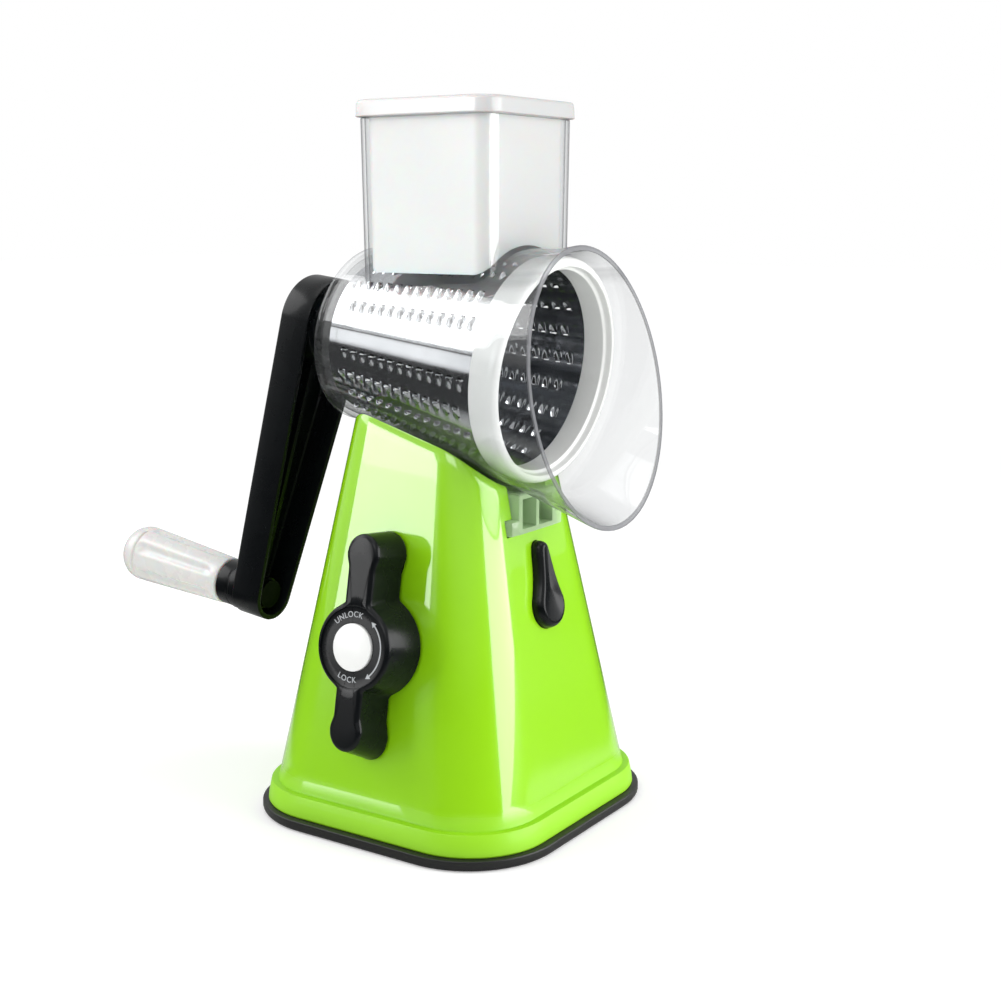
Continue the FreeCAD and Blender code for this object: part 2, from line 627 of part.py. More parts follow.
def grip_pin():
    shank = rod(PIN_R, PIN_END, ARM_INNER - 3.9, 0, ARM_LENGTH)
    head = rod(6.0, ARM_INNER - 3.9, ARM_INNER - 2.2, 0, ARM_LENGTH)
    neck = rod(PIN_R + 1, PIN_END + 3.0, PIN_END + 4.4, 0, ARM_LENGTH)
    groove = neck.cut(rod(PIN_R - 0.8, PIN_END, PIN_END + 6, 0, ARM_LENGTH))
    return placed(shank.fuse(head).cut(groove), CRANK_FRAME)


def grip_clip():
    ring = rod(6.6, PIN_END + 3.1, PIN_END + 4.3, 0, ARM_LENGTH)
    return placed(ring.cut(rod(PIN_R - 0.78, PIN_END, PIN_END + 6, 0, ARM_LENGTH)), CRANK_FRAME)


def crank_grip():
    """Free-turning grip: slim cone with a domed end and shallow flutes."""
    near = COLLAR_REAR - GAP
    dome = GRIP_R_FAR * 0.85
    shoulder = GRIP_REAR + dome
    ball_r = (dome ** 2 + GRIP_R_FAR ** 2) / (2 * dome)
    half_way = math.asin(GRIP_R_FAR / ball_r) / 2
    pole = FreeCAD.Vector(GRIP_REAR, 0, 0)
    middle = FreeCAD.Vector(GRIP_REAR + ball_r * (1 - math.cos(half_way)), 0,
                            ball_r * math.sin(half_way))
    corners = [FreeCAD.Vector(shoulder, 0, GRIP_R_FAR), FreeCAD.Vector(near, 0, GRIP_R_NEAR),
               FreeCAD.Vector(near, 0, 0), pole]
    edges = [Part.Arc(pole, middle, corners[0]).toShape()]
    edges += [Part.LineSegment(a, b).toShape() for a, b in zip(corners, corners[1:])]
    grip = Part.Face(Part.Wire(edges)).revolve(ORIGIN, ALONG_X, 360)
    bore = bar_x(PIN_R + FIT, PIN_END + 4.6, near + 1)
    chamber_end = bar_x(7.0, PIN_END - 2.0, PIN_END + 4.7)
    flutes = []
    for index in range(6):
        flute = bar_x(3.0, shoulder + 4.0, near - 2.0, 0, GRIP_R_FAR + 1.3)
        flute.rotate(ORIGIN, ALONG_X, 60 * index)
        flutes.append(flute)
    grip = grip.cut([bore, chamber_end] + flutes)
    stand = FreeCAD.Placement(FreeCAD.Vector(0, ARM_LENGTH, 0), FreeCAD.Rotation(
        FreeCAD.Vector(0, 0, 1), FreeCAD.Vector(0, 1, 0), FreeCAD.Vector(-1, 0, 0), "ZXY"))
    return placed(grip, CRANK_FRAME.multiply(stand))


NODES = [base_body, suction_pad, base_plate, plate_screws, rail_track, cam_shaft, shaft_clip,
         lift_rod, lift_spring, suction_knob, knob_cap, knob_screw, release_button, latch_bolt,
         latch_spring, drum_housing, food_pusher, drum_blade, drum_ring, drum_hub, crank_arm,
         snap_tabs, grip_pin, grip_clip, crank_grip]

os.makedirs("parts", exist_ok=True)
for node in NODES:
    shape = node()
    shape.exportStep("parts/" + node.__name__ + ".step")
    print(node.__name__, len(shape.Solids), shape.isValid(), round(shape.Volume))
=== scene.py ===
import json
import math

import bmesh
import bpy
import numpy as np
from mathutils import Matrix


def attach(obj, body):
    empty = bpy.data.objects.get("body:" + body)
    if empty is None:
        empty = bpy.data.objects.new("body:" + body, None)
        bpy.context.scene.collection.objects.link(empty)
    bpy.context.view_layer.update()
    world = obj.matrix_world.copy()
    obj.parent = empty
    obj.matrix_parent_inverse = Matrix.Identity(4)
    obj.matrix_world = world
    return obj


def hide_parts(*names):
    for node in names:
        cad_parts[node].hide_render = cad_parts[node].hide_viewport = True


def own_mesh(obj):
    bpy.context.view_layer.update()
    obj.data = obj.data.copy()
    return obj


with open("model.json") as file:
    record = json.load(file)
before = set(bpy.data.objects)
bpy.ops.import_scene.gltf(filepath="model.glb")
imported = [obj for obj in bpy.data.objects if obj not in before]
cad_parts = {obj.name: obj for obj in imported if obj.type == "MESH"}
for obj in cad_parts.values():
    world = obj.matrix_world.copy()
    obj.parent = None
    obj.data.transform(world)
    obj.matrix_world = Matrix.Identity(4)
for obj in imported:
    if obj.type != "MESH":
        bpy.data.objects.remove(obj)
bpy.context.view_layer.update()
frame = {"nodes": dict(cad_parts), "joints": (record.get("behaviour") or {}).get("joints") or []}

# --- studio ---
# Where the grater stands: a plain pale floor in a white room, lit by large softboxes.
# Polished pieces see the room as a studio: bright above, dark below the table's edge.
MM = 0.001


class Wire:
    """A value socket that can be written in sums; each operation adds one Math node."""

    def __init__(self, finish, socket):
        self.finish = finish
        self.socket = socket

    def maths(self, operation, first, second):
        node = self.finish.add("Math", {0: first, 1: second}, operation=operation)
        return Wire(self.finish, node.outputs[0])

    def __add__(self, other):
        return self.maths("ADD", self, other)

    def __radd__(self, other):
        return self.maths("ADD", other, self)

    def __sub__(self, other):
        return self.maths("SUBTRACT", self, other)

    def __rsub__(self, other):
        return self.maths("SUBTRACT", other, self)

    def __mul__(self, other):
        return self.maths("MULTIPLY", self, other)

    def __pow__(self, other):
        return self.maths("POWER", self, other)

    def __abs__(self):
        return self.maths("ABSOLUTE", self, 0.0)

    def above(self, edge, width):
        """0 below edge, 1 above it, with a smooth step of that width."""
        node = self.finish.add("MapRange", {
            "Value": self, "From Min": edge - width / 2, "From Max": edge + width / 2},
            interpolation_type="SMOOTHSTEP")
        return Wire(self.finish, node.outputs["Result"])


class Finish:
    """A material or world as a node tree; add() makes a shader node, its settings set first."""

    def __init__(self, owner):
        owner.use_nodes = True
        self.owner = owner
        self.tree = owner.node_tree
        self.tree.nodes.clear()

    def add(self, kind, inputs=None, **settings):
        node = self.tree.nodes.new("ShaderNode" + kind)
        for key, value in settings.items():
            setattr(node, key, value)
        for key, value in (inputs or {}).items():
            self.feed(node.inputs[key], value)
        return node

    def feed(self, target, value):
        if isinstance(value, Wire):
            self.tree.links.new(value.socket, target)
        elif isinstance(value, bpy.types.NodeSocket):
            self.tree.links.new(value, target)
        else:
            target.default_value = value

    def place(self):
        """Object coordinates, in metres."""
        return self.add("TexCoord").outputs["Object"]

    def position(self):
        """Wires of x, y and z in metres."""
        apart = self.add("SeparateXYZ", {0: self.place()})
        return [Wire(self, socket) for socket in apart.outputs]

    def noise(self, scale, detail):
        """Noise from 0 to 1; scale is in features per metre."""
        node = self.add("TexNoise", {
            "Vector": self.place(), "Scale": scale, "Detail": detail})
        return Wire(self, node.outputs["Fac"])

    def blend(self, share, first, second):
        """Colour mix: share 0 gives the first colour."""
        return self.add("Mix", {0: share, 6: first, 7: second}, data_type="RGBA").outputs[2]

    def mix(self, share, first, second):
        """Shader mix: share 0 gives the first shader."""
        return self.add("MixShader", {0: share, 1: first, 2: second}).outputs[0]

    def measure(self, operation, *vectors):
        """The length of a vector or the dot product of two."""
        node = self.add("VectorMath", dict(enumerate(vectors)), operation=operation)
        return Wire(self, node.outputs["Value"])

    def bump(self, height, strength, distance):
        """Normal from a height of 0 to 1 that stands for that distance."""
        return self.add("Bump", {
            "Height": height, "Strength": strength, "Distance": distance}).outputs[0]


def surface(name, **sockets):
    """A Principled material with its fixed values set; returns it and its shader node."""
    finish = Finish(bpy.data.materials.new(name))
    shader = finish.add("BsdfPrincipled")
    output = finish.add("OutputMaterial")
    finish.feed(output.inputs["Surface"], shader.outputs[0])
    for key, value in sockets.items():
        shader.inputs[key.replace("_", " ")].default_value = value
    return finish, shader


def rgb(red, green, blue):
    """A socket colour from screen values of 0 to 255."""
    shares = [value / 255 for value in (red, green, blue)]
    linear = [s / 12.92 if s < 0.04045 else ((s + 0.055) / 1.055) ** 2.4 for s in shares]
    return (*linear, 1.0)


def placed(name, data):
    """A new object of that mesh, light or camera, at the origin."""
    item = bpy.data.objects.new(name, data)
    bpy.context.scene.collection.objects.link(item)
    return item


CAMERA_TURN = math.radians(33.62)
CAMERA_DIP = math.radians(10.56)
CAMERA_AWAY = 0.6109
CAMERA_ASIDE = 0.0197
CAMERA_HEIGHT = 0.2386
CAMERA_LENS, CAMERA_SENSOR = 55.63, 36.0
NEAREST_SEEN = 0.01
eye = placed("camera", bpy.data.cameras.new("camera"))
eye.data.lens = CAMERA_LENS
eye.data.sensor_width = CAMERA_SENSOR
eye.data.clip_start = NEAREST_SEEN
eye.location = (
    math.sin(CAMERA_TURN) * CAMERA_AWAY + math.cos(CAMERA_TURN) * CAMERA_ASIDE,
    -math.cos(CAMERA_TURN) * CAMERA_AWAY + math.sin(CAMERA_TURN) * CAMERA_ASIDE,
    CAMERA_HEIGHT)
eye.rotation_euler = (math.pi / 2 - CAMERA_DIP, 0, CAMERA_TURN)
bpy.context.scene.camera = eye
bpy.context.scene.view_settings.view_transform = "Standard"
CLEAR_LAYERS = 24
bpy.context.scene.cycles.transparent_max_bounces = CLEAR_LAYERS


def softbox(name, at, towards, size, power):
    """A rectangular light of size (width, height) metres that faces a point."""
    lamp = bpy.data.lights.new(name, "AREA")
    lamp.shape = "RECTANGLE"
    lamp.size, lamp.size_y = size
    lamp.energy = power
    stand = placed(name, lamp)
    stand.location = at
    aim = np.subtract(at, towards)
    stand.rotation_euler = (math.atan2(math.hypot(aim[0], aim[1]), aim[2]), 0,
                            math.atan2(aim[1], aim[0]) + math.pi / 2)
    return stand


# The key lights the outlet side and makes the bright band on the front corner; the strips
# are mirrored in the knob's side of the base; the fills whiten single pieces.
softbox("key_right", (1.22, 0.45, 0.42), (0, 0, 0.15), (1.42, 0.85), 21.0)
strip_high = softbox("strip_high", (-0.865, -1.10, 0.515), (0, 0, 0.515), (0.27, 0.37), 2.6)
strip_low = softbox("strip_low", (-0.865, -1.10, 0.21), (0, 0, 0.21), (0.27, 0.24), 1.3)
drum_card = softbox("drum_card", (-0.90, -1.15, 0.27), (0, 0, 0.18), (1.1, 0.36), 1.3)
ring_fill = softbox("ring_fill", (-0.35, -1.2, 0.50), (0, 0, 0.22), (0.7, 0.5), 6.0)
chute_fill = softbox("chute_fill", (-0.45, -1.15, 0.50), (0, 0, 0.22), (0.7, 0.5), 14.0)
softbox("bank_left", (-1.06, -0.50, 0.95), (0, 0, 0.17), (1.0, 0.9), 9.5)
softbox("front_fill", (0.25, -1.35, 1.05), (0, 0, 0.12), (0.8, 0.5), 4.0)
softbox("overhead", (0.1, 0.0, 1.7), (0, 0, 0.1), (1.4, 1.4), 7.0)


def shines_on(lamps, pieces):
    """The lights reach only those pieces."""
    receivers = bpy.data.collections.new(lamps[0].name + "_on")
    for piece in pieces:
        receivers.objects.link(piece)
    for lamp in lamps:
        lamp.light_linking.receiver_collection = receivers


room = Finish(bpy.data.worlds.new("room"))
bpy.context.scene.world = room.owner
path = room.add("LightPath")
direction = room.add("TexCoord").outputs["Generated"]
height = Wire(room, room.add("SeparateXYZ", {0: direction}).outputs["Z"])
DARK_FROM = math.radians(-47.0)
WALL_WHITE, CEILING_WHITE, DAYLIGHT = 0.62, 0.2, 0.40
dark_way = (math.cos(DARK_FROM), math.sin(DARK_FROM), 0.0)
front = room.measure("DOT_PRODUCT", direction, dark_way).above(0.0, 0.07)
low_wall = height.above(-0.03, 0.06) * (1 - front) + height.above(0.19, 0.16) * front
studio = low_wall * WALL_WHITE + height.above(0.5, 0.5) * CEILING_WHITE
lit, mirrored, seen = (
    room.add("Background", {"Color": (1, 1, 1, 1), "Strength": strength}).outputs[0]
    for strength in (DAYLIGHT, studio, 1.0))
unseen = room.mix(path.outputs["Is Glossy Ray"], lit, mirrored)
whole = room.mix(path.outputs["Is Camera Ray"], unseen, seen)
room.add("OutputWorld", {"Surface": whole})

FLOOR_REACH, FLOOR_TOP = 6.0, -0.0002
floor_mesh = bpy.data.meshes.new("floor")
floor_mesh.from_pydata([(x, y, FLOOR_TOP) for x, y in (
    (-FLOOR_REACH, -FLOOR_REACH), (FLOOR_REACH, -FLOOR_REACH),
    (FLOOR_REACH, FLOOR_REACH), (-FLOOR_REACH, FLOOR_REACH))], [], [(0, 1, 2, 3)])
floor = placed("floor", floor_mesh)
table, table_shader = surface("table_top", Roughness=0.9, Specular_IOR_Level=0.1,
                              Emission_Strength=1.0)
table_path = table.add("LightPath").outputs["Is Glossy Ray"]
table_reach = table.measure("LENGTH", table.place())
FADE_AT, FADE_WIDTH = 0.75, 0.7
MIRRORED_REACH, MIRRORED_FADE = 0.22, 0.08
far = table_reach.above(FADE_AT, FADE_WIDTH)


def plain_grey(value):
    """A grey of that linear value."""
    return (value, value, value, 1)


mirrored_table = table.blend(table_reach.above(MIRRORED_REACH, MIRRORED_FADE),
                             plain_grey(0.6), plain_grey(0.02))
table.feed(table_shader.inputs["Base Color"],
           table.blend(table_path, table.blend(far, plain_grey(0.86), plain_grey(0)),
                       mirrored_table))
near_glow, far_glow = (table.blend(table_path, plain_grey(glow), plain_grey(0))
                       for glow in (0.24, 1))
table.feed(table_shader.inputs["Emission Color"], table.blend(far, near_glow, far_glow))
floor_mesh.materials.append(table.owner)


# --- base shell ---
# The green body: one glossy ABS moulding, a tapered tower with a flared lip, hollow
# below, its top dished to the drum housing and slotted for the housing's rail.
QUARTER_FLATS = 14
QUARTER_ARCS = 18


def square_base():
    """Unit pieces of a rounded square: straight part (times half - corner) and arc (times corner)."""
    flat = np.linspace(-1, 1, QUARTER_FLATS, endpoint=False)
    arc = np.linspace(0, np.pi / 2, QUARTER_ARCS, endpoint=False)
    straight = np.concatenate([np.stack([np.ones_like(flat), flat], -1), np.ones((len(arc), 2))])
    round_part = np.concatenate([np.tile([1.0, 0.0], (len(flat), 1)),
                                 np.stack([np.cos(arc), np.sin(arc)], -1)])
    turns = [np.array([[c, s], [-s, c]]) for c, s in ((1, 0), (0, 1), (-1, 0), (0, -1))]
    return (np.concatenate([straight @ turn for turn in turns]),
            np.concatenate([round_part @ turn for turn in turns]))


STRAIGHT, ROUND = square_base()


def rounded_square(half, corner):
    """Points (…, columns, 2) = straight * (half - corner) + arc * corner."""
    half = np.asarray(half, float)[..., None, None]
    corner = np.asarray(corner, float)[..., None, None]
    return STRAIGHT * (half - corner) + ROUND * corner


def make(name, grid, finish, caps=True, sharp=40.0):
    """One mesh from a grid of points in millimetres: doubles merged, faces outward, smooth
    but for edges sharper than that angle. Each row is a closed loop; caps closes the first
    and last row."""
    rows, columns = grid.shape[:2]
    row, column = np.meshgrid(np.arange(rows - 1), np.arange(columns), indexing="ij")
    nxt = (column + 1) % columns
    corners = [row * columns + column, row * columns + nxt,
               (row + 1) * columns + nxt, (row + 1) * columns + column]
    faces = np.stack(corners, -1).reshape(-1, 4).tolist()
    if caps:
        faces += [list(range(columns)), list(range((rows - 1) * columns, rows * columns))]
    mesh = bpy.data.meshes.new(name)
    mesh.from_pydata(grid.reshape(-1, 3) * MM, [], faces)
    mesh.materials.append(finish.owner)
    tidy(mesh, sharp)
    return placed(name, mesh)


def around(columns):
    """Angles of one whole turn."""
    return np.linspace(0, 2 * np.pi, columns, endpoint=False)


def circle(columns):
    """Points round a circle of radius 1."""
    return np.stack([np.cos(around(columns)), np.sin(around(columns))], -1)


def lifted(flat, z):
    """Points of (x, y) at heights z."""
    return np.concatenate([flat, np.broadcast_to(z, flat.shape[:-1])[..., None]], -1)


MERGE = 2e-6


def tidy(mesh, sharp):
    """Merges doubles, drops faces with no area, turns faces outward and sets smooth shading."""
    work = bmesh.new()
    work.from_mesh(mesh)
    bmesh.ops.remove_doubles(work, verts=work.verts, dist=MERGE)
    bmesh.ops.dissolve_degenerate(work, edges=work.edges, dist=MERGE / 2)
    bmesh.ops.recalc_face_normals(work, faces=work.faces)
    work.to_mesh(mesh)
    work.free()
    mesh.shade_smooth()
    mesh.set_sharp_from_angle(angle=math.radians(sharp))


def carve(piece, cutters, operation="DIFFERENCE"):
    """Applies a boolean with each cutter in turn; the cutters are thrown away."""
    for cutter in cutters:
        step = piece.modifiers.new("cut", "BOOLEAN")
        step.operation = operation
        step.solver = "EXACT"
        step.object = cutter
        bpy.context.view_layer.update()
        graph = bpy.context.evaluated_depsgraph_get()
        mesh = bpy.data.meshes.new_from_object(piece.evaluated_get(graph))
        old = piece.data
        piece.modifiers.clear()
        piece.data = mesh
        mesh.name = piece.name
        bpy.data.meshes.remove(old)
        bpy.data.objects.remove(cutter)


def settle(piece, sharp=35.0):
    """Cleans up a carved piece."""
    tidy(piece.data, sharp)
    return piece


def own(piece, body, slot, *nodes):
    """The piece rides on a body and stands for CAD nodes, which are hidden; slot is not used."""
    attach(piece, body)
    if nodes:
        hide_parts(*nodes)
    return piece


BODY_HALF = 58.8
BODY_CORNER = 28.0
TAPER = 0.191
CORNER_TAPER = 0.095
LIP_TOP = 12.9
WALL = 2.6


def joint(name):
    """Position in millimetres and axis of a joint."""
    found = [entry for entry in frame["joints"] if entry["name"] == name][0]
    return np.array(found["pos_m"]) / MM, np.array(found["axis"])


AXIS_AT, AXIS = joint("crank_spin")
AXIS_UP = np.array([-AXIS[2], 0.0, AXIS[0]])
CHAMBER_REAR, CHAMBER_FRONT = -91.0, -4.0
CHAMBER_R_REAR, CHAMBER_R_FRONT = 34.4, 46.2
SADDLE_GROWTH, SADDLE_RAISE = 4.0, 3.0


def chamber_radius(along):
    share = (along - CHAMBER_REAR) / (CHAMBER_FRONT - CHAMBER_REAR)
    return CHAMBER_R_REAR + share * (CHAMBER_R_FRONT - CHAMBER_R_REAR)


def saddle_height(x, y, extra):
    """Height of the dished top: lower side of a cone about the raised drum axis."""
    z = np.full_like(x, 150.0)
    for _ in range(12):
        along = (x - AXIS_AT[0]) * AXIS[0] + (z - AXIS_AT[2]) * AXIS[2]
        radius = chamber_radius(along) + SADDLE_GROWTH + extra
        drop = -np.sqrt(np.maximum(radius ** 2 - y ** 2, 1.0)) + SADDLE_RAISE
        z = AXIS_AT[2] + (drop - (x - AXIS_AT[0]) * AXIS_UP[0]) / AXIS_UP[2]
    return z


def tower_point(z, inset):
    """Wall points at heights z (rows, columns): rounded square shrinking with height."""
    half = BODY_HALF - TAPER * (z - LIP_TOP) - inset
    corner = BODY_CORNER - CORNER_TAPER * (z - LIP_TOP) - inset
    return STRAIGHT * (half - corner)[..., None] + ROUND * corner[..., None]


def tower(inset, extra, foot_rows, edge_round):
    """Grid of the tower: given foot rows, the wall, a rounded top edge and the dished top."""
    columns = len(STRAIGHT)
    top = np.full(columns, 150.0)
    for _ in range(25):
        rim = tower_point(top, inset)
        top = saddle_height(rim[:, 0], rim[:, 1], extra)
    rise = np.linspace(0, 1, 26)[:, None] ** 0.9
    start = foot_rows[-1][0, 2] + 0.4
    z = start + rise * (top - edge_round - start)
    wall = lifted(tower_point(z, inset), z)
    rows = [row[None] for row in foot_rows] + [wall]
    rim = tower_point(top, inset)
    reach = np.linalg.norm(rim - [8.0, 0.0], axis=-1, keepdims=True)
    inward = ([8.0, 0.0] - rim) / reach
    for step in (0.25, 0.5, 0.75, 1.0):
        angle = step * math.pi / 2
        flat = rim + inward * edge_round * (1 - math.cos(angle))
        level = top - edge_round * (1 - math.sin(angle))
        deck = saddle_height(flat[:, 0], flat[:, 1], extra)
        level = np.minimum(level, deck) if step < 1 else deck
        rows.append(lifted(flat, level)[None])
    for share in np.linspace(0.93, 0.0, 14):
        flat = [8.0, 0.0] + (rim + inward * edge_round - [8.0, 0.0]) * share
        rows.append(lifted(flat, saddle_height(flat[:, 0], flat[:, 1], extra))[None])
    return np.concatenate(rows)


def level_row(half, corner, z):
    return lifted(rounded_square(half, corner), z)


def block(name, x_span, y_span, z_span, finish, bevel=0.0):
    """A box, its edges rounded by a bevel of that width."""
    mesh = bpy.data.meshes.new(name)
    corners = [(x, y, z) for z in z_span for y in y_span for x in x_span]
    mesh.from_pydata(np.array(corners) * MM, [], [
        (0, 2, 3, 1), (4, 5, 7, 6), (0, 1, 5, 4), (2, 6, 7, 3), (0, 4, 6, 2), (1, 3, 7, 5)])
    if bevel:
        work = bmesh.new()
        work.from_mesh(mesh)
        bmesh.ops.bevel(work, geom=work.edges, offset=bevel * MM, segments=2,
                        profile=0.5, affect="EDGES")
        work.to_mesh(mesh)
        work.free()
    mesh.shade_smooth()
    mesh.set_sharp_from_angle(angle=math.radians(50))
    mesh.materials.append(finish.owner)
    return placed(name, mesh)


TILT = math.atan(TAPER)
KNOB_AT, knob_axis = joint("knob_turn")
KNOB_OUT = -knob_axis
KNOB_UP = np.array([0.0, math.sin(TILT), math.cos(TILT)])
BUTTON_Z = 87.7
BUTTON_AT = np.array([BODY_HALF - TAPER * (BUTTON_Z - LIP_TOP), 0.0, BUTTON_Z])
BUTTON_OUT = np.array([math.cos(TILT), 0.0, math.sin(TILT)])
BUTTON_UP = np.array([-math.sin(TILT), 0.0, math.cos(TILT)])
KNOB_FACE = (KNOB_AT, KNOB_UP, KNOB_OUT)
BUTTON_FACE = (BUTTON_AT, BUTTON_UP, BUTTON_OUT)


def on_face(flat, out, at, up, normal):
    """Points in a face's own frame (right, up, out) moved to the grater's frame."""
    right = np.cross(up, normal)
    return (at + flat[..., :1] * right + flat[..., 1:2] * up
            + np.asarray(out)[..., None] * normal)


def face_rows(rows, at, up, normal):
    """Grid of (outline, distance out) rows on a face."""
    return np.stack([on_face(flat, out, at, up, normal) for flat, out in rows])


def capsule(radius_a, radius_b, length, columns=96):
    """Outline in 2-D of two circles, at 0 and up at length, with their tangents."""
    lean = math.asin((radius_a - radius_b) / length)
    share = columns // 4
    top = np.linspace(lean, math.pi - lean, share + 1)
    low = np.linspace(math.pi - lean, 2 * math.pi + lean, 2 * share + 1)
    rim_top = np.stack([np.cos(top), np.sin(top)], -1) * radius_b + [0, length]
    rim_low = np.stack([np.cos(low), np.sin(low)], -1) * radius_a
    side = np.linspace(0, 1, 14)[1:-1, None]
    left = rim_top[-1] + side * (rim_low[0] - rim_top[-1])
    right = rim_low[-1] + side * (rim_top[0] - rim_low[-1])
    return np.concatenate([rim_top, left, rim_low, right])


TEAR_R, TEAR_TIP, TEAR_LENGTH = 8.85, 3.3, 22.3


def tear(inset):
    """Outline of the button: a capsule with a slight waist, x * (1 - 0.16 sin(pi * height share))."""
    outline = capsule(TEAR_R - inset, TEAR_TIP - inset, TEAR_LENGTH)
    share = np.clip((outline[:, 1:] - 3.0) / (TEAR_LENGTH - 3.0), 0, 1)
    return outline * np.concatenate([1 - 0.16 * np.sin(np.pi * share), np.ones_like(share)], -1)


green, green_shader = surface("lime_abs", Roughness=0.2, Coat_Roughness=0.02, Coat_Weight=0.9,
                              Coat_IOR=1.6, Specular_IOR_Level=0.4)
cloud = green.noise(14.0, 3.0)
green.feed(green_shader.inputs["Base Color"],
           green.blend(cloud, rgb(138, 202, 14), rgb(146, 209, 20)))
wall_part = green.position()[2].above(0.017, 0.006)
green.feed(green_shader.inputs["Coat Weight"], wall_part * 0.86 + 0.04)
green.feed(green_shader.inputs["Roughness"], 0.42 - wall_part * 0.25 + green.noise(60.0, 3.0) * 0.08)
skin_noise = green.noise(420.0, 2.0)
green.feed(green_shader.inputs["Normal"], green.bump(skin_noise, 0.05, 0.0001))

lip_rows = [level_row(60.0, 30.0, 4.2), level_row(62.8, 32.3, 4.2), level_row(63.2, 32.6, 4.8),
            level_row(63.0, 32.5, 7.0), level_row(62.1, 32.1, 12.3), level_row(61.8, 31.8, 12.75),
            level_row(61.2, 31.2, 12.9), level_row(59.0, 28.2, 12.95), level_row(58.9, 28.1, 13.2)]
shell = make("base_shell", tower(0.0, 0.0, lip_rows, 0.8), green)
inner_rows = [level_row(BODY_HALF - WALL, BODY_CORNER - WALL, 2.0)]
hollow = make("hollow", tower(WALL, WALL, inner_rows, 0.2), green)
slot_neck = block("slot_neck", (-16, 70), (-13.4, 13.4), (117.0, 190.0), green)
slot_wings = block("slot_wings", (-16, 70), (-18.4, 18.4), (116.9, 123.4), green)
outline = tear(-0.3)
tear_hole = make("tear_hole", face_rows([(outline, -10.0), (outline, 6.0)], *BUTTON_FACE), green)
disc = circle(48) * 5.05
bore = make("bore", face_rows([(disc, -12.0), (disc, 6.0)], *KNOB_FACE), green)
carve(shell, [hollow, slot_neck, slot_wings, tear_hole, bore])
own(settle(shell), "base", "green_plastic", "base_body")


# --- suction foot ---
# The black rubber pad under the base: a rounded square rim, a thin skin inside it and
# a socket in the middle that the lift rod pulls up. Moulded in one piece, pressed on.
def soften(points, reach):
    """Open outline whose inner corners are rounded by curves that start that far from them."""
    points = np.asarray(points, float)
    reaches = np.broadcast_to(reach, len(points) - 2)
    share = np.linspace(0, 1, 5)[:, None]
    runs = [points[:1]]
    for before, corner, after, start in zip(points, points[1:], points[2:], reaches):
        ends = [corner + (end - corner) * min(0.48, start / max(np.linalg.norm(end - corner), 1e-9))
                for end in (before, after)]
        runs.append((1 - share) ** 2 * ends[0] + 2 * share * (1 - share) * corner
                    + share ** 2 * ends[1])
    return np.concatenate(runs + [points[-1:]])


def square_rows(profile):
    """Grid of level rounded squares from (half, corner, z) points."""
    return np.stack([level_row(half, corner, z) for half, corner, z in profile])


def skin(finish, shader, rough, grain):
    """Roughness = low + span * noise from (low, span, scale, detail), and a fine bump from
    (scale, detail, strength, distance)."""
    low, span, scale, detail = rough
    finish.feed(shader.inputs["Roughness"], low + finish.noise(scale, detail) * span)
    if grain:
        scale, detail, strength, distance = grain
        grain_height = finish.noise(scale, detail)
        finish.feed(shader.inputs["Normal"], finish.bump(grain_height, strength, distance))


def uneven(name, tones, patch, rough, grain, **sockets):
    """A material whose colour drifts between two tones by noise of (scale, detail) patch."""
    finish, shader = surface(name, **sockets)
    finish.feed(shader.inputs["Base Color"], finish.blend(finish.noise(*patch), *tones))
    skin(finish, shader, rough, grain)
    return finish, shader


rubber, _ = uneven("black_rubber", (rgb(11, 11, 12), rgb(20, 20, 21)), (55.0, 3.0),
                   (0.36, 0.16, 180.0, 3.0), (2200.0, 1.0, 0.22, 0.00004), Specular_IOR_Level=0.45)
PAD_PROFILE = soften([(0.1, 0.05, 0.0), (65.3, 36.4, 0.0), (66.2, 37.0, 1.2), (66.2, 37.0, 4.2),
                      (56.2, 25.4, 4.2), (56.2, 25.4, 2.0), (0.1, 0.05, 2.0)], [0.6, 0.8, 0.8, 0.3, 0.3])
pad = make("foot_pad", square_rows(PAD_PROFILE), rubber)
SOCKET = [(0.05, 1.0), (14.0, 1.0), (14.0, 9.6), (13.6, 10.0), (5.5, 10.0), (5.5, 8.2), (10.0, 8.2),
          (10.0, 2.6), (0.05, 2.6)]
socket = make("socket", np.stack([lifted(circle(48) * radius, z) for radius, z in SOCKET]), rubber)
carve(pad, [socket], "UNION")
own(settle(pad, 30), "base", "black_rubber", "suction_pad")


# --- suction knob ---
# Black glossy ABS knob on the base's side: a hub with two drafted arms and rounder
# ends, a shallow ring for the lettering and a seat for the white cap, screwed to the shaft.
KNOB_TOP, KNOB_LOW = 18.0, 1.0
KNOB_LABEL_R, KNOB_LABEL_DEEP = 15.4, 0.7
CAP_R = 9.0
black, black_shader = uneven("black_abs", (rgb(8, 10, 12), rgb(14, 17, 19)), (35.0, 3.0),
                             (0.20, 0.16, 90.0, 4.0), None, Coat_Weight=0.12,
                             Coat_Roughness=0.1, Specular_IOR_Level=0.16)
black_skin = black.noise(260.0, 2.0) * 0.6 + black.noise(1500.0, 1.0) * 0.4
black.feed(black_shader.inputs["Normal"], black.bump(black_skin, 0.14, 0.00006))


